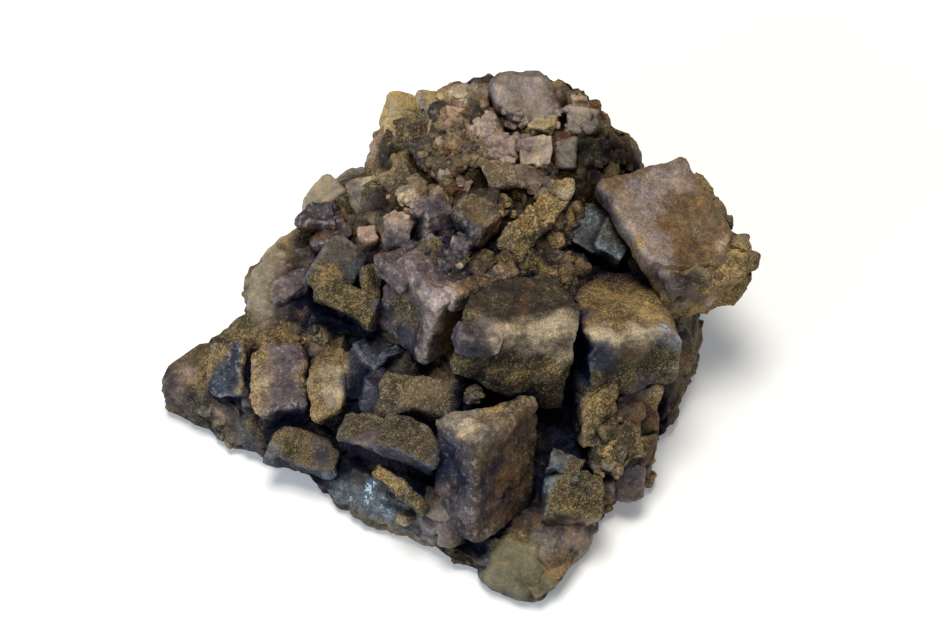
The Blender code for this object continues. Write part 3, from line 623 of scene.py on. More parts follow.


# %% [markdown]
# ## The main crystals
#
# Each crystal is one or more boxes: centre, size and turn. Six pigments give the plain colour of its left,
# right, front, back, lower and upper sides before the stains go on.
# Navy on a side is painted shade, the blue black of a side that the light hardly reaches.

# %% Crystal table
# A cut trims a crystal: a point of the plane and the direction that it faces.
CUT_CENTRE = (((-4.2, -21, 38), (-0.97, 0.24, 0.07)), ((8.7, -13.5, 43.6), (0.30, -0.42, 0.85)),
              ((0.5, -14, 44.2), (-0.35, -0.50, 0.79)), ((6, -20.2, 29.8), (-0.38, -0.77, -0.52)))
CUT_WEDGE = (((-11, -2.3, 41.3), (-0.44, -0.35, 0.82)),)
CUT_FRONT = (((3.4, -23.3, 31.8), (-0.264, 0.958, 0.107)),)
CUT_CORNER = (((31.4, 10.2, 37.5), (-0.79, -0.33, -0.52)),)
CRYSTALS = {
    "wedge_crystal": (
        "purple", "purple brown brown purple umber mauve",
        dict(rounding=3, dish=(2.2, 0.3, 1.6, 0.3, 0, 1.2), chips=0, cuts=CUT_WEDGE),
        (((-6.3, 1.2, 31.7), (18.4, 16.4, 21.2), (-1, 14, 40)),
         ((-12.7, 4.6, 38.3), (11, 8.6, 5.4), (-6, 14, 40), "purple brown purple brown umber mauve", 0.8),
         ((1.9, -1.2, 39.9), (17, 4.2, 5.2), (0, 13, 33), "frost brown umber drab umber brown"))),
    "centre_crystal": (
        "ochre", "olive umber olive umber umber umber",
        dict(rounding=0.9, dish=0.4, cuts=CUT_CENTRE, chips=1),
        (((5.6, -10.6, 33), (25.8, 16.2, 22.2), (-16, 13, 14)),
         ((1.6, -15.8, 42.6), (9.6, 5.6, 5.2), (-10, 13, 4), "plum plum plum olive umber mauve", 0.9))),
    "right_crystal": (
        "ochre", "navy mauve olive umber umber ochre",
        dict(rounding=0.9, dish=0.4, chips=1),
        (((29.8, -3.1, 26.5), (18.7, 22.8, 14.2), (-22, 8, 12)),)),
    "corner_crystal": (
        "brown", "mauve tan ochre umber umber brown",
        dict(rounding=1.6, dish=(0.2, 0, 0, 0, 0, 0.8), rough=0.6, cuts=CUT_CORNER, chips=3),
        (((39.4, 16, 32.7), (21, 26, 15.8), (6, 9, 27)),
         ((43, 14.7, 31), (21.2, 25.6, 13.4), (6, 9, 27), "ochre ochre ochre brown umber ochre", 2.2))),
    "front_slab": (
        "ochre", "plum plum navy umber umber drab",
        dict(rounding=0.7, dish=0.2, chip=0.9),
        (((-12, -27.2, 23.8), (12.6, 8, 6.2), (12, 10, -18)),
         ((-21.3, -22.9, 20.3), (9.7, 6.9, 7.2), (9, -2, -17)))),
    "front_chip": (
        "brown", "frost brown grey umber umber grey",
        dict(rounding=1.1, dish=0.1),
        (((-4.8, -33.4, 11.8), (6.8, 7, 8.2), (42, -9, -21)),
         ((-2.8, -38, 7.6), (5.4, 6.8, 7), (34, -8, -14)),
         ((-7.6, -36.2, 5.6), (7.4, 6.4, 7), (24, -6, -24), "frost mauve frost mauve umber frost"))),
    "front_crystal": (
        "purple", "navy brown plum umber umber tan",
        dict(rounding=2.2, dish=(0.2, 0.6, 1, 0, 0, 0.2), chip=1.4, chips=1, cuts=CUT_FRONT),
        (((3, -28.9, 19.4), (12.2, 18.6, 26.2), (-19, -15, -41)),)),
    "stained_crystal": (
        "ochre", "navy olive olive umber umber olive",
        dict(rounding=0.9, dish=0.2, chip=1.4, chips=3, rough=1.3),
        (((21, -32, 17.4), (1.7, 1.7, 1.9), (11, 4, 20), "slate steel steel slate umber ice", 0.2),
         ((19.4, -27.6, 13.6), (7.5, 4.8, 9.2), (11, 4, -18)),
         ((20.2, -33.1, 11.2), (11.5, 9.4, 10.2), (12, 11, 0), "slate olive khaki umber umber khaki"))),
    "right_cluster": (
        "brown", "ochre brown brown umber umber brown",
        dict(rounding=0.6, dish=0.3, chips=4, chip=1.8, rough=1.7),
        (((24.9, -16.9, 19.6), (6.8, 13.8, 11.2), (49, 8, 8), "drab tan brown umber umber khaki"),
         ((26.6, -22.6, 13.4), (6.4, 8, 13), (44, 8, 4), "drab brown brown umber umber drab"),
         ((29.8, -26, 7.4), (9, 7, 9.4), (46, 12, 10), "mauve plum plum umber umber purple"),
         ((28.6, -17.8, 16.6), (9, 12, 10.4), (46, 8, 8)),
         ((32.3, -15.8, 15.8), (9.6, 12, 11.2), (43, 8, 6)),
         ((32.2, -22.6, 10.2), (8.9, 10, 9.6), (46, 12, 14)),
         ((29.4, -22, 15.4), (8, 9, 9), (44, 4, 24), "drab brown tan brown umber drab"))),
    "hooked_crystal": (
        "ochre", "drab navy drab drab umber khaki",
        dict(rounding=0.8, dish=0.2, chip=0.8, spacing=0.35),
        (((-27.4, 11.6, 27.6), (9.2, 10, 9.4), (-2, 22, -24), "slate navy slate slate umber slate", 0.4),
         ((-28.6, 6.3, 29.8), (6.6, 6.4, 4.2), (20, 4, -53)),
         ((-24.3, 1.9, 29.2), (14.2, 6.2, 4.2), (15, 4, -30)), ((-20, 5.4, 30), (5, 10.6, 4), (5, 16, 0)))),
    "small_left_crystal": (
        "brown", "brown brown orange brown umber pink",
        dict(rounding=1, spacing=0.3, chip=0.8),
        (((-21.3, 15.6, 32.3), (4.6, 4.4, 5.2), (3, 8, 12)),)),
    "pocket_crystals": (
        "grey", "slate slate slate navy navy slate",
        dict(rounding=0.5, dish=0.1, spacing=0.3, chip=0.5, rough=0.6),
        (((24.2, 18.4, 31.2), (5.8, 9.4, 8.2), (13, 12, -24)), ((29, 15.2, 31.2), (7, 9, 8.2), (8, 16, -24)),
         ((26.8, 16.9, 27.4), (8.2, 7.2, 5.2), (10, 14, -24)))),
    "row_crystal_inner": (
        "ochre", "ochre plum ochre brown umber ochre",
        dict(rounding=1, dish=0.3),
        (((-27.4, -8.6, 16.5), (7.8, 18.6, 9.4), (6, -29, 1)),
         ((-24, -7.6, 15.9), (7.8, 11.2, 9.2), (18, 18, 10), "ochre navy navy brown umber navy"))),
    "row_crystal_middle": (
        "purple", "ochre plum purple brown umber purple",
        dict(rounding=2.4, dish=0.2),
        (((-38, -7.8, 13.8), (11.6, 16.4, 11.2), (8, -8, 3)),)),
    "row_crystal_outer": (
        "purple", "navy brown navy ochre umber navy",
        dict(rounding=0.9, dish=0.2),
        (((-48.6, -3.5, 11.8), (9.6, 11.6, 8.6), (21, -25, -9)),)),
    "tan_slab": (
        "brown", "olive olive drab umber umber drab",
        dict(rounding=1.2, dish=0.1),
        (((-9.8, -17.2, 22.4), (17.2, 8.4, 8.2), (3, 2, -10)),
         ((-18.6, -13.6, 19.2), (10, 10, 7), (16, 14, -38), "navy olive navy umber umber navy", 0.6))),
    "front_blade": (
        "ochre", "olive olive olive umber umber ochre",
        dict(rounding=0.8, dish=0.1, spacing=0.3, chip=0.6),
        (((-13.7, -33.4, 16.2), (12.8, 2.6, 7.2), (22, 4, -39)),)),
    "flank_slab": (
        "ochre", "navy plum navy umber umber tan",
        dict(rounding=0.8, dish=0.1),
        (((-34, -21.3, 9.6), (14.8, 7.2, 5.4), (12, 10, -12)),)),
    "shoulder_crystal_upper": (
        "purple", "purple plum brown purple umber plum",
        dict(rounding=1.1, chips=4, rough=1.7),
        (((-31.6, 23.4, 25.2), (8.6, 6.6, 10.6), (-5, -4, -1)),
         ((-29.6, 21, 24.8), (8.8, 7, 9.4), (8, -6, 32), "plum brown purple purple umber purple"))),
    "shoulder_crystal_lower": (
        "purple", "tan plum mauve purple umber mauve",
        dict(rounding=1.8),
        (((-36.8, 11.8, 17.6), (8.2, 8.2, 9.8), (4, -2, -3)),)),
}

# %% Crystals
for row, (name, (finish, sides, wear, blocks)) in enumerate(CRYSTALS.items()):
    wear_later = {key: value for key, value in wear.items() if key not in ("cuts", "dish")}
    keep_surfaces(name + "_surface", name, finish, [
        crystal_surface(block, sides, 5 * row + number, **(wear_later if number else wear))
        for number, block in enumerate(blocks)])

# %% [markdown]
# ## The rock
#
# The rock is a single closed surface: one parameter runs round it, the other runs from the middle of its
# top, over the rim, down the wall and under the foot. Its height is a mix of listed spots, each weighted
# by how near it is. The tables are the plain solid's own, and only the mesh is finer, with broken facets and
# grains on top.

# %% Rock tables
ROCK_CENTRE = (-4.0, 0.0)
# The rim: angle in degrees, distance from the centre, height.
OUTLINE = np.array((
    (4, 52, 10), (12, 53, 12), (24, 54, 15), (36, 54, 22), (44, 54, 34), (56, 56, 37), (66, 57, 40),
    (78, 54, 40), (92, 51, 37), (103, 51, 34), (109, 46, 32), (116, 40, 30), (123, 42, 27), (132, 44, 24),
    (140, 41, 23), (149, 44, 20), (160, 46, 19), (170, 42, 18), (177, 49, 15), (182, 59, 11), (186, 60.5, 9),
    (193, 51.5, 5), (205, 41.5, 4), (218, 36, 4), (231, 37, 4), (245, 37, 5), (258, 38, 5), (268, 40, 6),
    (276, 43, 6), (283, 48, 6), (289, 53.5, 6), (298, 50.5, 6), (307, 46.5, 6), (314, 44, 6), (324, 45, 5),
    (331, 46, 6), (340, 44, 8), (352, 48, 9)), dtype=float)
# Heights on top: x, y, height.
SPOTS = np.array((
    (-60, -4, 10), (-55, -8, 8), (-51, 3, 15), (-46, -12, 6), (-43, 4, 18), (-35, 3, 17), (-43, 12, 19),
    (-39, 20, 22), (-33, 33, 27), (-29, 22, 25), (-25, 29, 30), (-20, 33, 33), (-19, 22, 30), (-26, 8, 21),
    (-14, 46, 36), (-14, 35, 37), (-8, 33, 39), (-2, 30, 40), (-11, 18, 39), (-13, 12, 37), (-6, 12, 39),
    (0, 25, 41), (6, 11, 38), (14, 23, 39), (12, 13, 36), (17, 19, 31), (10, 3, 34), (10, 43, 41),
    (19, 39, 40), (27, 38, 38), (32, 35, 35), (29, 29, 30), (25, 12, 27), (22, 18, 26), (38, 22, 24),
    (-24, -2, 19), (-15, -4, 22), (-32, -19, 10), (-38, -13, 9), (-27, -12, 12), (-8, -13, 21),
    (-14, -17, 19), (2, -18, 23), (14, -15, 18), (18, -18, 12), (-24, -24, 10), (-14, -27, 11),
    (-35, -23, 7), (-22, -31, 7), (-10, -37, 6), (-2, -32, 8), (6, -45, 8), (14, -45, 8), (18, -41, 9),
    (24, -36, 8), (30, -31, 7), (26, -24, 10), (34, -17, 11), (35, -5, 15), (43, 4, 15), (47, -4, 10),
    (46, 14, 19), (38, 15, 24)), dtype=float)
SPOT_REACH = 6.0
# Crust that fills the gaps between the crystals: x, y, height of its top, reach.
HEAPS = np.array((
    (-53, 0, 14.5, 5), (-51, 4, 16, 5), (-46, 4, 17.5, 5), (-41, 2, 18.5, 4), (-36, 2, 19, 4),
    (-31, 1, 20.5, 4), (-54, -6, 11.5, 4), (-44, -8, 14, 3), (-44, -13, 11, 4), (-33, -9, 15, 3),
    (-38, -17, 10, 4), (-30, -18, 12, 4), (-8, 7, 42.5, 3.5), (-3, 5, 42.7, 3.5), (2, 4, 42, 3.5),
    (6, 4, 41, 3.5), (11, 7, 38.5, 5), (15, 5, 37.5, 5), (17, 9, 36, 5), (18, 22, 42, 4), (15, 18, 41, 4),
    (12, 14, 40, 4), (9, 10, 39.5, 4), (10, 44, 41, 6), (1, 41, 42, 8), (-8, 41, 40.5, 8),
    (-14, 39, 38.5, 7), (-8, 32, 41, 7), (2, 31, 42.5, 8), (13, 33, 42.5, 8), (22, 38, 41, 7),
    (29, 35, 38.5, 6), (12, 24, 41.5, 6), (-3, 24, 42.5, 7), (-12, 24, 41, 6), (-9, 18, 41.5, 5),
    (-5, 16, 42, 6), (4, 18, 42, 6), (30, 40, 37, 5), (21, 29, 38, 5), (28, -20, 16.5, 5), (34, -19, 15, 6),
    (34, -26, 10.5, 6), (28, -29, 12, 5), (24, -24, 12, 4), (31, -30, 8.5, 5), (27, -36, 10, 6),
    (8, -44, 8.5, 7), (13, -45, 8.5, 6), (19, -41, 10, 6), (24, -39, 10, 6), (29, -33, 8, 5), (4, -41, 8, 6),
    (-30, -26, 7, 6), (-24, -29, 7, 6), (-17, -32, 7, 6), (-10, -36, 7, 6), (-5, -38, 7, 5), (42, -6, 17, 6),
    (44, 2, 19, 6), (38, -10, 16, 6), (45, 9, 22, 6), (-44, 12, 21.5, 6), (-41, 18, 23.5, 6),
    (-35, 27, 27, 6), (-30, 33, 30, 6), (-22, -16, 17.5, 4), (-17, -20, 18, 4)), dtype=float)


def ground_distances(x, y, places):
    """Squared distances over the ground from each point to each place."""
    return (x[:, None] - places[:, 0]) ** 2 + (y[:, None] - places[:, 1]) ** 2


def rock_height(x, y):
    """The spots' heights, weighted by exp(-distance^2 / (2 * reach^2)), no lower than the heaps' domes."""
    weight = np.exp(-ground_distances(x, y, SPOTS) / (2.0 * SPOT_REACH**2)) + 1e-6
    domes = (HEAPS[:, 2] - 3.0 * ground_distances(x, y, HEAPS) / HEAPS[:, 3] ** 2).max(axis=1)
    return np.maximum((weight * SPOTS[:, 2]).sum(1) / weight.sum(1), domes)


def rock_lumps(x, y, z):
    """Five crossed waves, about -1 to 1: the same lumps as the plain solid has."""
    total = np.zeros_like(x)
    for k, length in enumerate((19.0, 13.0, 9.0, 6.5, 4.5)):
        wave = 2.0 * math.pi / length
        total += np.sin(wave * (x + 0.6 * y) + 1.7 * k) * np.cos(wave * (y - 0.5 * x + 0.8 * z) + 2.3 * k)
    return total / 2.5


# %% Rock surface
COLUMNS, TOP_ROWS, WALL_ROWS, FOOT_ROWS = 500, 96, 56, 12
LUMP_HEIGHT = 0.9


def rock_surface():
    """Angle and row as two parameters: over the top, down the wall and under the foot.

    Gives the points, the triangles, and how far down the wall each point is, from 0 to 1.
    """
    rows = TOP_ROWS + WALL_ROWS + FOOT_ROWS
    angle, row = np.meshgrid(np.arange(COLUMNS) * 360.0 / COLUMNS, np.arange(1, rows), indexing="xy")
    angle, row = np.append(angle.ravel(), (0.0, 0.0)), np.append(row.ravel(), (0, rows))
    distance, rim = (np.interp(angle, OUTLINE[:, 0], OUTLINE[:, k], period=360.0) for k in (1, 2))
    out = np.clip(row / TOP_ROWS, 0.0, 1.0) ** 0.85
    down = np.clip((row - TOP_ROWS) / WALL_ROWS, 0.0, 1.0)
    under = np.clip((row - TOP_ROWS - WALL_ROWS) / FOOT_ROWS, 0.0, 1.0)
    inward = np.clip((down - 0.65) / 0.35, 0.0, 1.0) ** 2
    reach = distance * out * (1.0 - 0.07 * inward) * (1.0 - under)
    side = np.stack([np.cos(np.radians(angle)), np.sin(np.radians(angle)), np.zeros_like(angle)], axis=1)
    x = ROCK_CENTRE[0] + reach * side[:, 0]
    y = ROCK_CENTRE[1] + reach * side[:, 1]
    near_rim = np.clip((out - 0.86) / 0.14, 0.0, 1.0)
    z = (rock_height(x, y) * (1.0 - near_rim) + rim * near_rim) * (1.0 - down)
    lumps = LUMP_HEIGHT * rock_lumps(x, y, z) * (1.0 - down)
    wall = np.where(row > TOP_ROWS, 1.0 - inward, 0.0)
    bulge = LUMP_HEIGHT * wall * rock_lumps(y, z, x)
    points = np.stack([x, y, z + lumps], axis=1) + side * bulge[:, None]

    grid = np.arange(COLUMNS * (rows - 1)).reshape(rows - 1, COLUMNS)
    turned = np.roll(grid, -1, axis=1)
    quads = np.stack([grid[:-1], grid[1:], turned[1:], turned[:-1]], -1).reshape(-1, 4)
    top, foot = np.full(COLUMNS, grid.size), np.full(COLUMNS, grid.size + 1)
    fans = [np.stack([top, grid[0], turned[0]], 1), np.stack([foot, turned[-1], grid[-1]], 1)]
    return points, np.concatenate([in_triangles(quads), *fans]), down


def in_triangles(faces):
    """Triangles stay, and each four-sided face is cut in two."""
    return faces if faces.shape[1] == 3 else np.concatenate([faces[:, :3], faces[:, [0, 2, 3]]])


def normals_of(points, triangles):
    """Unit normals at the points: the sum of the normals of the triangles round each point."""
    a, b, c = (points[triangles[:, k]] for k in range(3))
    flat = np.cross(b - a, c - a)
    total = np.zeros_like(points)
    for k in range(3):
        for axis in range(3):
            total[:, axis] += np.bincount(triangles[:, k], flat[:, axis], len(points))
    return total / np.maximum(np.linalg.norm(total, axis=1, keepdims=True), 1e-9)


# %% Build the rock
ROCK_KINDS = "brown olive ochre grey umber"
SUMMIT_KINDS = "pink tan brown orange umber tan brown yellow rust umber"
# Heights in mm: facets, fine facets and grains on the sides, slabs on the walls, and the summit's rise,
# crystals, grains and cracks.
SIDE_FACET, SIDE_FINE, SIDE_GRAIN, SLAB = 0.8, 0.3, 0.3, 2.8
SUMMIT_RISE, CRYSTAL, CRYSTAL_CRACK, GRAIN, GRAIN_CRACK = 0.5, 1.1, 1.3, 0.4, 0.4
# Smooth places: x, y and how far they reach.
CALM = (
    (-60, -4, 12), (-48, 4, 10), (-44, 13, 9), (-37, 26, 8), (-30, 33, 7), (-28, -28, 9), (-20, -31, 8),
    (-12, -36, 8), (10, -46, 11), (24, -38, 9), (44, -4, 9), (46, 8, 7), (10, 44, 7))


def nearness(points, x, y, reach):
    """1 at a place of the ground and less round it: exp(-distance^2 / reach^2)."""
    return np.exp(-((points[:, 0] - x) ** 2 + (points[:, 1] - y) ** 2) / reach**2)


def crest(points):
    """1 on the summit behind the main crystals and 0 elsewhere, over a few millimetres."""
    return np.clip((points[:, 2] - 33.0) / 3.0, 0.0, 1.0) * np.clip((points[:, 1] - 10.0) / 5.0, 0.0, 1.0)


def broken_rock():
    """The rock with facets on its sides, slabs on its walls and a mosaic of crystals on its summit."""
    points, triangles, down = rock_surface()
    calm = np.max([nearness(points, *place) for place in CALM], axis=0)
    summit = crest(points)
    broken, gap, _ = facets(points, 5.0, 3)
    finer, _, _ = facets(points, 1.7, 4)
    cube, cube_gap, cube_kind = facets(points, 4.6, 12)
    grain, grain_gap, _ = facets(points, 1.9, 14)
    slabs, _, _ = facets(points, 15.0, 6)
    rugged = SIDE_FACET * broken + SIDE_FINE * finer + SIDE_GRAIN * rough_noise(points, 1.6, 2, 5)
    lumpy = SUMMIT_RISE + CRYSTAL * cube + GRAIN * grain
    lumpy = lumpy - CRYSTAL_CRACK * np.exp(-7.0 * cube_gap) - GRAIN_CRACK * np.exp(-7.0 * grain_gap)
    move = (1.0 - 0.95 * calm) * rugged * (1.0 - summit) + lumpy * summit * (1.0 - calm)
    move = move + SLAB * np.clip(down / 0.15, 0.0, 1.0) * (1.0 - calm) * np.clip(slabs - 0.25, -1.0, 0.0)
    free = 1.0 - np.clip((down - 0.9) / 0.1, 0.0, 1.0)
    points = points + normals_of(points, triangles) * (move * free)[:, None]

    kinds = palette_rows(ROCK_KINDS)
    blend = np.stack([np.exp(4.0 * rough_noise(points, 9.0, 3, 20 + k)) for k in range(len(kinds))], axis=1)
    paint = (blend @ kinds) / blend.sum(1, keepdims=True)
    picks = palette_rows(SUMMIT_KINDS)
    picks = picks[(cube_kind * len(picks)).astype(int)]
    # Painted shade in the gaps between the summit crystals.
    picks[:, :3] *= (1.0 - 0.75 * np.exp(-8.0 * cube_gap))[:, None]
    paint = paint * (1.0 - summit[:, None]) + picks * summit[:, None]
    return Surface(points, triangles, paint, 0.3 * np.exp(-gap * 6.0))


keep_surfaces("rock_surface", "rock_matrix", "rock", [broken_rock()])

# %% [markdown]
# ## Blocks grown on the rock
#
# The summit is a crust of small cubes, the backs of the main crystals are overgrown by rock, and larger
# broken blocks stand out of its sides. They are the plain solid's own blocks, dressed like the crystals.

# %% Blocks of the rock
DRUSE = (
    ((11.4, 44.2, 39.4), (13.6, 11.8, 13), (21, -6, 14), "rose"),
    ((17.4, 46.8, 38.4), (4.8, 6, 8), (14, 7, 4), "brown"),
    ((22.9, 44.6, 38.4), (2.8, 3.2, 6), (2, 9, 12), "pink"),
    ((23, 40.6, 38.8), (5.9, 5.2, 8), (16, 5, -1), "rose"),
    ((16.6, 42.2, 40), (3.2, 2.6, 5), (4, 4, -3), "umber"),
    ((15, 37.5, 40.2), (4.9, 4.1, 7), (10, 1, -4), "yellow"),
    ((13.8, 31.2, 40.2), (6.4, 5.6, 7), (13, 3, 5), "cream"),
    ((20.1, 32.2, 38.2), (3.7, 5.3, 7), (14, 6, 1), "grey"),
    ((3.6, 36.3, 40), (5.2, 5.1, 7), (6, -2, 7), "pink"),
    ((6.8, 31.6, 40.3), (6, 4.8, 7), (10, -1, -7), "pink"),
    ((6.7, 25.3, 40.6), (5.9, 5.8, 7), (8, -6, 6), "tan"),
    ((12.3, 24.6, 39.5), (7.7, 4.6, 7), (5, 3, 0), "brown"),
    ((-14.4, 46.4, 33.4), (6.4, 6.4, 8), (10, -3, 12), "yellow"),
    ((-9.1, 47.6, 35.6), (3.8, 4.3, 6), (4, 0, 6), "yellow"),
    ((-5, 47.2, 36.6), (3.6, 4.1, 6), (4, -2, 15), "tan"),
    ((-1.3, 47, 37.6), (3.6, 3.8, 6), (4, 1, 2), "pink"),
    ((2.3, 45.1, 38.7), (3.6, 5.6, 6), (7, 7, 8), "brown"),
    ((-2, 40.8, 38), (5.8, 4.9, 6), (6, -6, 5), "pink"),
    ((-8.2, 40.4, 37.2), (4.6, 5, 6), (8, 4, 30), "tan"),
    ((-14.6, 39.6, 35), (5, 4.8, 6), (6, -8, 14), "yellow"),
    ((-2.6, 34.4, 39.4), (5, 4.8, 6), (-4, 8, 40), "tan"),
    ((-9.4, 32.6, 38.8), (5, 5.4, 6), (8, -6, 24), "umber"),
    ((0.8, 29.6, 40.6), (4.6, 4.4, 6), (6, 6, 10), "brown"),
    ((-4.6, 26.4, 40), (5, 4.2, 6), (4, -8, 34), "brown"),
    ((-14.4, 26.6, 36.6), (5.6, 5.2, 7), (6, -8, 12), "tan"),
    ((25.5, 28, 32.4), (4.8, 5.4, 8), (8, -7, 4), "umber"),
    ((28, 34.4, 34.8), (5.8, 5.4, 7), (10, 12, 18), "umber"),
)
DRUSE_SIDES = {
    "pink": "pink tan pink brown umber pink", "cream": "tan tan frost brown umber pink",
    "brown": "brown umber brown brown umber brown", "yellow": "yellow tan tan brown umber yellow",
    "grey": "mauve umber slate brown umber grey", "tan": "tan umber tan brown umber tan",
    "umber": "umber umber brown umber umber umber", "ochre": "tan tan ochre brown umber ochre",
    "mottled": "frost purple mauve plum umber mauve", "rose": "mauve tan rose brown umber rose",
    "block": "brown brown drab brown umber tan",
}
RIDGE = (
    ((18, 22.2, 38.8), (5.2, 5.2, 8), (0, 11, -22), "ochre"),
    ((12.5, 15.2, 35.9), (6, 18.6, 10), (8, 12, -35), "ochre"),
    ((1.1, 13.3, 41.8), (8.7, 7.2, 7), (-4, -1, -50), "block"),
    ((-7.6, 14.4, 40.2), (7, 6.6, 7), (6, 8, 30), "mottled"),
    ((-14, 13.6, 37.2), (6.4, 6, 7.6), (10, -4, -14), "mottled"),
    ((-10.6, 20.4, 38.2), (6.4, 6.4, 7), (-6, -8, 18), "tan"),
    ((-1.8, 8.8, 40), (5, 4.4, 6), (12, 6, 12), "mottled"),
    ((0.3, -20.8, 24.6), (3, 3, 15), (2, 3, 29), "block"),
)
ROCK_BLOCKS = (
    ((-50.8, 0.6, 9.4), (15, 8, 8.6), (8, -24, 12)),
    ((-39.8, 15.4, 15.8), (8.6, 9, 12), (6, -10, 34), "rind", 0.5),
    ((-30, 30.2, 23.2), (10.4, 8, 13), (-6, -12, 30), "rind tan pink rind umber rind", 0.6),
    ((-20.8, 28, 27), (8, 9, 11), (8, -10, 10)), ((39.6, 2, 12.6), (10, 14, 11), (14, 10, 16)),
    ((-21, 36.4, 16.4), (13, 11, 15), (-10, 8, 34)), ((2, 46, 17), (14, 10, 16), (6, 12, -12)),
    ((25, 41, 19), (15, 12, 16), (-12, -8, 30)), ((12, 48.4, 29), (10, 8, 10), (14, -10, 8)),
    ((42.6, 19, 10), (11, 13, 12), (6, -8, 22)), ((-36, 24, 9), (10, 12, 11), (-8, 10, 42)),
)
# A small dark cube that stands for the shade of the hollow below the hooked crystal, and a blade in it,
# both painted mostly navy as shade.
BLADES = (
    ((-19.6, -3.4, 18.4), (8.4, 7.4, 6.6), (16, 14, 42)), ((-16.6, -5.6, 19.6), (6.4, 1.6, 8), (18, 20, 36)),
)
# Smooth swellings of the rock along its lower edge, and a small one on the left flank.
SMOOTH_LEDGES = (
    ((9.4, -43.4, 3), (14.6, 13, 10.4), (9, 2, -24), "glass"),
    ((17.4, -38.8, 3.4), (15.6, 9.6, 11.8), (8, 4, 46), "grey"),
    ((-13.4, -35.6, 7.8), (3.6, 2.6, 3), (20, 4, -34), "ochre tan tan tan umber tan"),
)


# %% Grow the blocks
def grow(name, finish, blocks, first_seed, sides="", node="rock_matrix", **wear):
    """One piece of many blocks, each with its own seed."""
    keep_surfaces(name, node, finish, [
        crystal_surface(block, sides, first_seed + k, **wear) for k, block in enumerate(blocks)])


def facet_shaded(surface, size, seed):
    """The surface with painted light and shade on facets: each of its own tone, darker along its borders."""
    _, gap, tone = facets(surface.points, size, seed)
    surface.paint[:, :3] *= ((0.72 + 0.56 * tone) * (1.0 - 0.45 * np.exp(-8.0 * gap)))[:, None]
    return surface


def summit_cube(k, centre, size, turn, sides):
    """A summit crystal, a little larger than its plain solid and turned further. The first is a big lump."""
    big = k == 0
    size = tuple(side + 0.8 for side in size)
    turn = tuple(turn + random.uniform(-1, 1, 3) * (6 if big else 16))
    wear = dict(rounding=4.0, rough=1.1, chips=1) if big else dict(rounding=0.8, rough=0.8, chips=2)
    block = centre, size, turn
    surface = crystal_surface(block, DRUSE_SIDES[sides], 160 + k, spacing=0.4, dish=0.0, chip=0.9, limit=0.45,
                              **wear)
    return facet_shaded(surface, 6.0 if big else 2.6, 500)


random = np.random.default_rng(63)
keep_surfaces("summit_cubes", "rock_matrix", "summit", [
    summit_cube(k, *cube) for k, cube in enumerate(DRUSE)])
ridge_wear = dict(spacing=0.4, rounding=1.0, dish=0.1, rough=1.4, chips=2, chip=1.0)
keep_surfaces("ridge_cubes", "rock_matrix", "rock", [
    facet_shaded(crystal_surface(block, DRUSE_SIDES[sides], 200 + k, **ridge_wear), 2.6, 501)
    for k, (*block, sides) in enumerate(RIDGE)])
grow("rock_ledges", "rock", ROCK_BLOCKS, 230, "brown tan olive brown umber grey",
     spacing=0.5, rounding=1.6, dish=0.0, rough=1.1, chips=4, chip=2.4, limit=0.42)
grow("smooth_ledges", "rock", SMOOTH_LEDGES, 250,
     spacing=0.4, rounding=5.0, dish=0.0, rough=0.6, chips=1, chip=1.0, limit=0.47)
grow("dark_blades", "grey", BLADES, 300, "slate navy navy slate umber navy",
     spacing=0.3, rounding=0.5, dish=0.0, rough=0.7, chips=1, chip=0.6)

# %% Crust on the corner crystal
# Lumps along its right and its front upper edge, two lines of its own directions.
CORNER_MIDDLE, CORNER_TURN = np.array([40.9, 15.4, 32.4]), (6, 9, 27)
LUMP_GAP = 2.4
along_x, along_y, along_z = turn_matrix(CORNER_TURN).T
rise = 4.6 * along_z
right = [CORNER_MIDDLE + 10.0 * along_x + t * along_y + rise for t in np.arange(-12.5, 2.0, LUMP_GAP)]
front = [CORNER_MIDDLE - 12.4 * along_y + s * along_x + rise for s in np.arange(-7.0, 10.0, LUMP_GAP)]
random = np.random.default_rng(41)
crust = [(spot + random.uniform(-0.5, 0.5, 3), random.uniform(3.0, 5.0, 3), random.uniform(0, 90, 3))
         for spot in right + front]
grow("corner_crust", "ochre", crust, 270, "tan tan ochre tan umber tan", "corner_crystal",
     spacing=0.4, rounding=1.3, dish=0.0, rough=1.6, chips=4, chip=0.6)

# %% [markdown]
# ## Lumps between the crystals
#
# Between the larger cubes the crust is a heap of lumps of two to five millimetres. Each is a small chipped
# box at a random spot of the rock's surface, sunk by half its height, in a few zones of the specimen.

# %% Lumps
# Where lumps lie: x, y, reach, how many, smallest, largest, pigments.
LUMPS = (
    (-4, 30, 12, 20, 2.2, 4, "tan pink brown rust"), (8, 33, 8, 16, 2.4, 4.4, "pink tan cream brown"),
    (-13, 40, 8, 10, 2.6, 4.6, "yellow tan olive"), (25, 35, 7, 10, 2.4, 4.4, "umber umber brown"),
    (-10, 22, 8, 18, 2.2, 4.4, "pink tan tan frost"), (-6, 7, 5, 12, 1.8, 3.4, "plum frost olive plum"),
    (0, 14, 8, 14, 1.8, 3.6, "ochre grey brown"), (12, 16, 7, 16, 1.8, 3.4, "ochre tan ochre"),
    (27, -18, 5, 14, 1.8, 3.2, "ochre tan yellow brown"),
    (31, -22, 6, 14, 1.8, 3.4, "ochre brown umber rust"), (-30, 2, 9, 16, 1.8, 3.6, "umber ochre brown"),
    (-28, 22, 8, 12, 2.4, 4.4, "mauve brown tan"), (-46, -8, 9, 10, 1.8, 3.4, "ochre grey tan"),
    (24, 12, 8, 10, 1.8, 3.4, "drab umber brown"), (0, -22, 9, 12, 1.6, 3, "umber olive navy"),
    (26, -34, 7, 12, 2, 3.8, "mauve ochre grey"),
)
LOWEST_LUMP = 4.0
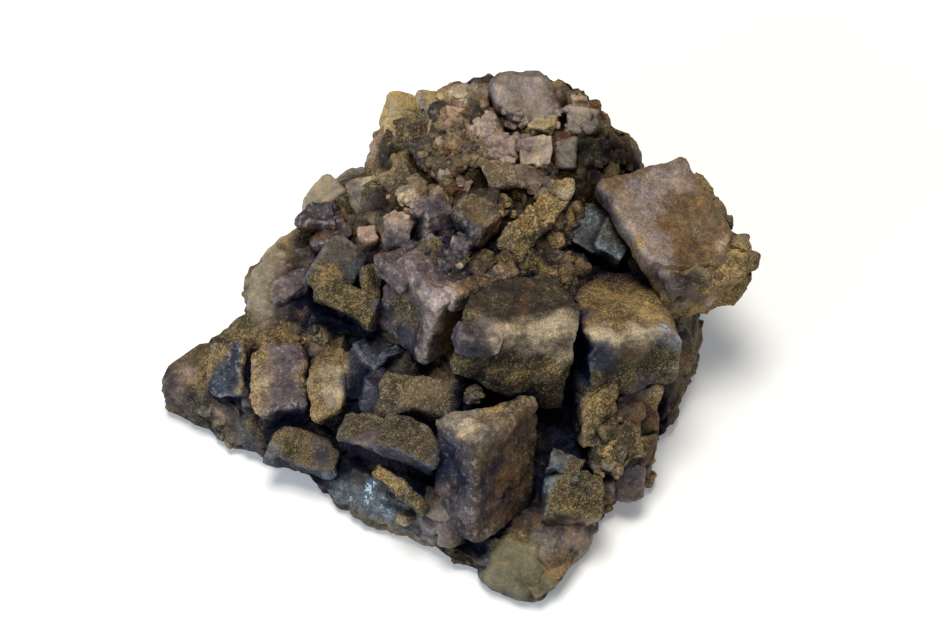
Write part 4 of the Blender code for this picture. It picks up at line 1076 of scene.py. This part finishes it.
LUMP_WEAR = dict(spacing=0.6, rounding=0.5, dish=0.0, rough=0.6, chips=2, chip=0.6)
random = np.random.default_rng(91)
rock_points = points_of("rock_surface", "summit_cubes", "right_cluster_surface")
rock_points = rock_points[rock_points[:, 2] > LOWEST_LUMP]
lumps = []
for x, y, reach, count, smallest, largest, pigments in LUMPS:
    near = rock_points[((rock_points[:, :2] - (x, y)) ** 2).sum(1) < reach**2]
    pigments = pigments.split()
    for spot in random.choice(near, count):
        size = random.uniform(smallest, largest) * random.uniform(0.75, 1.25, 3)
        side = pigments[random.integers(len(pigments))]
        spot = spot - (0.0, 0.0, 0.5 * size[2])
        block = spot, size, random.uniform(0, 90, 3)
        lump = crystal_surface(block, side, 400 + len(lumps), **LUMP_WEAR)
        lump.paint[:, :3] *= random.uniform(0.6, 1.15)
        lumps.append(lump)
keep_surfaces("crust_lumps", "rock_matrix", "summit", lumps)

# %% [markdown]
# ## One bend for everything
#
# Nothing grown is quite straight. One smooth field of small shifts bends every surface at once, so that the
# edges of the cubes waver a little while neighbours keep their places. It fades out towards the foot, which
# stays flat.

# %% Bend
def bent(points):
    """Each point moved by up to about a millimetre by three fields of noise, less near the foot."""
    moved = points + 0.75 * noise_vectors(points, 9.0, (31, 41, 51)) * np.clip(points[:, 2:] / 5.0, 0.0, 1.0)
    moved[:, 2] = np.maximum(moved[:, 2], 0.0)
    return moved


waiting = [(*names, surface._replace(points=bent(surface.points))) for *names, surface in waiting]

# %% [markdown]
# ## How deep a point lies
#
# Cracks let little light in, and their shade is painted into the colour. The highest point over each
# small square of the ground gives a height map. A point that sees high ground in most directions round
# it lies in a crack.

# %% Height map
CELL = 0.8
MAP_SIZE = (170, 150)
MAP_CORNER = np.array([-68.0, -56.0])
# A point looks in 12 directions, and in each one at these distances in mm.
DIRECTIONS, WAYS = 12, (1.8, 3.6, 6.5)
# A point begins to count as sunk at the first mean rise and counts in full at the second.
CRACK_START, CRACK_FULL = 0.36, 0.76
# Where light comes in from the side: x, y, reach, share.
OPEN_PLACES = (
    (47, 2, 10, 0.9), (-13, -36, 3, 0.8), (-7, -37, 4, 0.6), (-4, -9, 5, 0.8), (30, -30, 6, 0.4),
    (20, -39, 7, 0.9), (-15, -3, 5, 0.7), (-3, -8, 4, 0.6), (-18, -31, 7, 0.6), (5, 56, 9, 0.8),
    (-18, 48, 8, 0.8), (28, 52, 9, 0.8), (-36, 36, 8, 0.6), (46, 40, 9, 0.7))


def map_cell(points):
    """The row and column of the height map under each point."""
    return tuple(np.clip(((points[:, :2] - MAP_CORNER) / CELL).astype(int), 0, np.array(MAP_SIZE) - 1).T)


def sunk(points):
    """0 in the open to 1 deep in a crack: how steeply the ground rises, as a mean of 12 directions.

    Where light comes in from the side, as under the corner crystal, the ground round a point counts less.
    """
    walls = 0.0
    for angle in np.arange(DIRECTIONS) * 2.0 * math.pi / DIRECTIONS:
        step = np.array([math.cos(angle), math.sin(angle), 0.0])
        rise = [(height_map[map_cell(points + way * step)] - points[:, 2] - 0.3) / way for way in WAYS]
        walls = walls + np.clip(np.max(rise, axis=0), 0.0, 1.0) / DIRECTIONS
    for x, y, reach, share in OPEN_PLACES:
        walls = walls * (1.0 - share * nearness(points, x, y, reach))
    return np.clip((walls - CRACK_START) / (CRACK_FULL - CRACK_START), 0.0, 1.0)


height_map = np.zeros(MAP_SIZE)
for *_, surface in waiting:
    np.maximum.at(height_map, map_cell(surface.points), surface.points[:, 2])
print("highest point in mm:", round(height_map.max(), 1))

# %% [markdown]
# ## Small crystals
#
# The summit is crusted with crystals of a millimetre or two, and crumbs of the same lie in the cracks. Each
# is a small cube with cut edges: eight corners give 24 points, six sides, twelve edge strips and eight
# corner triangles. Whole arrays of places, sizes and turns make hundreds of copies at once.

# %% Cut cube
EDGE_CUT = 0.16
BITS = (4, 2, 1)
OTHER_AXES = ((1, 2), (0, 2), (0, 1))


def cut_cube():
    """24 points and 44 triangles of a cube from -0.5 to 0.5 with its edges cut.

    The bits of a corner's number say on which side of each axis it lies, and it has a point for each axis.
    """
    corners = np.array([(x, y, z) for x in (-1, 1) for y in (-1, 1) for z in (-1, 1)], dtype=float)
    points = (np.where(np.eye(3) == 1, 0.5, 0.5 - EDGE_CUT) * corners[:, None]).reshape(-1, 3)
    triangles = []
    for corner in range(8):
        triangles.append([3 * corner, 3 * corner + 1, 3 * corner + 2])
        for bit, ways in zip(BITS, OTHER_AXES):
            if not corner & bit:
                a, d, b, c = (3 * end + way for end in (corner, corner | bit) for way in ways)
                triangles += [[a, b, c], [a, c, d]]
    for axis, (one, two) in enumerate(OTHER_AXES):
        for side in (0, BITS[axis]):
            ring = (side, side | BITS[one], side | BITS[one] | BITS[two], side | BITS[two])
            a, b, c, d = (3 * corner + axis for corner in ring)
            triangles += [[a, b, c], [a, c, d]]
    triangles = np.array(triangles)
    a, b, c = (points[triangles[:, k]] for k in range(3))
    inward = (np.cross(b - a, c - a) * (a + b + c)).sum(1) < 0
    triangles[inward] = triangles[inward][:, ::-1]
    return points, triangles


def turn_matrices(random, count):
    """Random turns as 3 by 3 arrays, each from a unit quaternion w, x, y, z."""
    turn = random.normal(size=(count, 4))
    w, x, y, z = (turn / np.linalg.norm(turn, axis=1, keepdims=True)).T
    return np.array([[1 - 2 * (y * y + z * z), 2 * (x * y - z * w), 2 * (x * z + y * w)],
                     [2 * (x * y + z * w), 1 - 2 * (x * x + z * z), 2 * (y * z - x * w)],
                     [2 * (x * z - y * w), 2 * (y * z + x * w), 1 - 2 * (x * x + y * y)]]).transpose(2, 0, 1)


def many_cubes(places, sizes, seed):
    """Copies of the cut cube, each with its own turn, stretch and small unevenness, and a tone for each."""
    random = np.random.default_rng(seed)
    unit, triangles = cut_cube()
    count, corners = len(places), len(unit)
    matrices = turn_matrices(random, count)
    stretch = sizes[:, None] * random.uniform(0.7, 1.3, (count, 3))
    shape = (unit + random.uniform(-0.07, 0.07, (count, corners, 3))) * stretch[:, None]
    points = np.einsum("kij,knj->kni", matrices, shape) + places[:, None]
    faces = triangles + corners * np.arange(count)[:, None, None]
    return points.reshape(-1, 3), faces.reshape(-1, 3), random.uniform(0.6, 1.35, count)


# %% Crust and crumbs
# Where small crystals lie: x, y, reach, how many, smallest, largest, pigment.
SPRINKLES = (
    (-3, 29, 8, 260, 0.8, 1.8, "tan"), (6, 33, 9, 60, 0.8, 2, "pink"), (29, 33, 5, 8, 1, 1.8, "cream"),
    (-5, 44, 9, 30, 0.8, 1.8, "grey"), (-13, 18, 6, 45, 0.7, 1.7, "pink"), (-4, 8, 6, 40, 0.5, 1.3, "plum"),
    (12, 15, 7, 40, 0.5, 1.3, "ochre"), (20, 41, 6, 16, 0.7, 1.6, "pink"),
    (-28, 4, 8, 26, 0.7, 1.6, "umber"), (-22, -18, 8, 16, 0.6, 1.5, "olive"),
    (0, -24, 9, 22, 0.6, 1.4, "umber"), (17, -20, 7, 16, 0.6, 1.4, "navy"),
    (26, -30, 7, 24, 0.6, 1.5, "ochre"), (20, 12, 7, 30, 0.6, 1.4, "umber"),
    (-38, -2, 8, 24, 0.5, 1.3, "brown"),
)
random = np.random.default_rng(77)
ground = points_of("rock_surface", "summit_cubes", "ridge_cubes", "rock_ledges", "right_cluster_surface")
ground = ground[ground[:, 2] > height_map[map_cell(ground)] - 1.0]
places, sizes, shades = [], [], []
for x, y, reach, count, smallest, largest, pigment in SPRINKLES:
    reaches = reach * random.uniform(0.3, 1.0, len(ground))
    near = ground[((ground[:, :2] - (x, y)) ** 2).sum(1) < reaches**2]
    size = random.uniform(smallest, largest, count)
    places.append(random.choice(near, count) - np.array([0.0, 0.0, 0.25]) * size[:, None])
    sizes.append(size)
    shades.append(np.tile(PALETTE[pigment], (count, 1)))
places, sizes, shades = (np.concatenate(rows) for rows in (places, sizes, shades))
points, faces, tone = many_cubes(places, sizes, 5)
paint = stained(places, shades)
paint[:, :3] *= tone[:, None]
paint = np.repeat(paint, len(points) // len(places), axis=0)
surface = Surface(points, faces, paint, np.full(len(points), 0.4))
waiting.append(("small_crystals", "rock_matrix", "summit", surface))
print("small crystals:", len(places))

# %% [markdown]
# ## Paint, grains and meshes
#
# Now the stains go on, painted shade darkens the cracks to blue black or brown, and the crusted parts get
# their grains. One function turns each surface into a mesh, stores the paint as attributes, and hides the
# plain solid that the piece stands for.

# %% Painted shade and dirt
# Painted shade in the cracks: blue black on the front slope and brown on the summit.
CRACK_SHADE_COLOURS = linear((10, 18, 40)), linear((40, 28, 16))
# Deep in a crack the painted shade covers at most this share of the colour.
DARKEST_SHADE = 0.92
# Places darkened by painted shade and settled dirt: x, y, reach, share of the light that it takes.
SHADE_AND_DIRT = (
    (30, 34, 6, 0.85), (25, 28, 4, 0.6), (-13, 33, 4, 0.35), (-17, 22, 3, 0.4), (16, 9, 3.5, 0.4),
    (-6, 21, 3, 0.3), (-60, -4, 8, 0.2), (-27, 12, 4, 0.45), (29, -22, 7, 0.3), (42, 0, 4, 0.35),
    (5, 6, 4, 0.25), (36, 16, 6, 0.12), (-6, -36, 4, 0.15), (-34, -24, 5, 0.15), (-42, 17, 9, 0.12))


def shaded_and_dirtied(points, paint):
    """The colour after painted shade and dirt, shine as its fourth column, and the share of light in cracks.
    """
    depth = DARKEST_SHADE * sunk(points)[:, None]
    summit = np.clip((points[:, 1:2] - 10.0) / 10.0, 0.0, 1.0)
    crack = CRACK_SHADE_COLOURS[0] * (1.0 - summit) + CRACK_SHADE_COLOURS[1] * summit
    colour = np.hstack([paint[:, :3] * (1.0 - depth) + crack * depth, 1.0 - depth])
    for x, y, reach, share in SHADE_AND_DIRT:
        colour = colour * (1.0 - share * nearness(points, x, y, reach))[:, None]
    return colour, 1.0 - depth


# %% Make the pieces
# How firmly the plain paint holds against the stains.
HOLD, SUMMIT_HOLD, LUMP_HOLD = 0.1, 0.4, 0.9


def add_object(name, data):
    """A new object in the scene."""
    thing = bpy.data.objects.new(name, data)
    bpy.context.scene.collection.objects.link(thing)
    return thing


def make_piece(name, node, finish, surface):
    """Stains, painted shade, dirt and grains on a surface, then its mesh object. Gives its number of
    triangles.
    """
    points, faces, paint, edge = surface
    small = name == "small_crystals"
    if not small:
        hold = LUMP_HOLD if name in ("crust_lumps", "summit_cubes") else HOLD
        if name == "rock_surface":
            hold = HOLD + SUMMIT_HOLD * crest(points)[:, None]
        paint = stained(points, paint, hold)
    colour, light = shaded_and_dirtied(points, paint)
    if not small:
        above_ground = np.clip(points[:, 2], 0.0, 1.0)
        grains = 0.13 * rough_noise(points, 0.8, 2, 13) * (0.3 + paint[:, 3]) * above_ground
        points = points + normals_of(points, in_triangles(faces)) * grains[:, None]
    mesh = bpy.data.meshes.new(name)
    mesh.from_pydata(points * MM, [], faces.tolist())
    mesh.polygons.foreach_set("use_smooth", np.full(len(faces), not small))
    finish_values = np.column_stack([paint[:, 3:5], edge, paint[:, 5:] * light])
    for title, values in (("paint", colour), ("finish", finish_values)):
        layer = mesh.attributes.new(title, "FLOAT_COLOR", "POINT")
        layer.data.foreach_set("color", values.astype(np.float32).ravel())
    mesh.update()
    mesh.materials.append(MATERIALS[finish])
    piece = add_object(name, mesh)
    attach(piece, "root")
    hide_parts(node)
    return len(faces) * (faces.shape[1] - 2)


triangle_count = sum(make_piece(*entry) for entry in waiting)
print("pieces:", len(waiting), "triangles:", triangle_count)

# %% [markdown]
# ## Stage, light and camera
#
# The photograph looks down at the specimen on a white ground under broad soft light from the upper left,
# with a cooler light from the front left.

# %% Stage
GROUND_HALF, GROUND_DROP = 3.0, 0.0001
corners = [(GROUND_HALF * x, GROUND_HALF * y, -GROUND_DROP) for x, y in ((-1, -1), (1, -1), (1, 1), (-1, 1))]
ground_mesh = bpy.data.meshes.new("ground")
ground_mesh.from_pydata(corners, [], [(0, 1, 2, 3)])
paper = bpy.data.materials.new("white_ground")
paper.use_nodes = True
set_inputs(paper.node_tree.nodes["Principled BSDF"], {
    "Base Color": (0.95, 0.93, 0.90, 1.0), "Roughness": 0.9,
    "Emission Color": (1.0, 1.0, 1.0, 1.0), "Emission Strength": 0.17})
ground_mesh.materials.append(paper)
floor = add_object("floor", ground_mesh)


# %% Light
def look(thing, place, aim):
    """Puts a lamp or camera at a place in metres and aims it at a point."""
    thing.location = place
    thing.rotation_euler = (Vector(aim) - Vector(place)).to_track_quat("-Z", "Y").to_euler()


def add_lamp(name, place, aim, size, power, colour):
    """A square area light at a place in metres, aimed at a point."""
    light = bpy.data.lights.new(name, "AREA")
    light.size = size
    light.energy = power
    light.color = colour
    look(add_object(name, light), place, aim)


add_lamp("key", (-0.05, 0.03, 0.80), (0.0, 0.0, 0.02), 0.30, 5.2, (1.0, 0.97, 0.91))
add_lamp("cool", (-0.55, -0.45, 0.30), (0.0, 0.0, 0.01), 0.3, 2.6, (0.70, 0.85, 1.0))
world = bpy.data.worlds.new("studio")
world.use_nodes = True
set_inputs(world.node_tree.nodes["Background"], {"Color": (0.82, 0.91, 1.0, 1.0), "Strength": 0.22})
bpy.context.scene.world = world
bpy.context.scene.view_settings.view_transform = "Standard"

# %% Camera
CAMERA_PLACE, CAMERA_AIM = (0.0, -0.2502, 0.3980), (0.0, -0.002, 0.030)
lens = bpy.data.cameras.new("camera")
lens.lens = 85.0
lens.sensor_width = 36.0
camera = add_object("camera", lens)
look(camera, CAMERA_PLACE, CAMERA_AIM)
bpy.context.scene.camera = camera
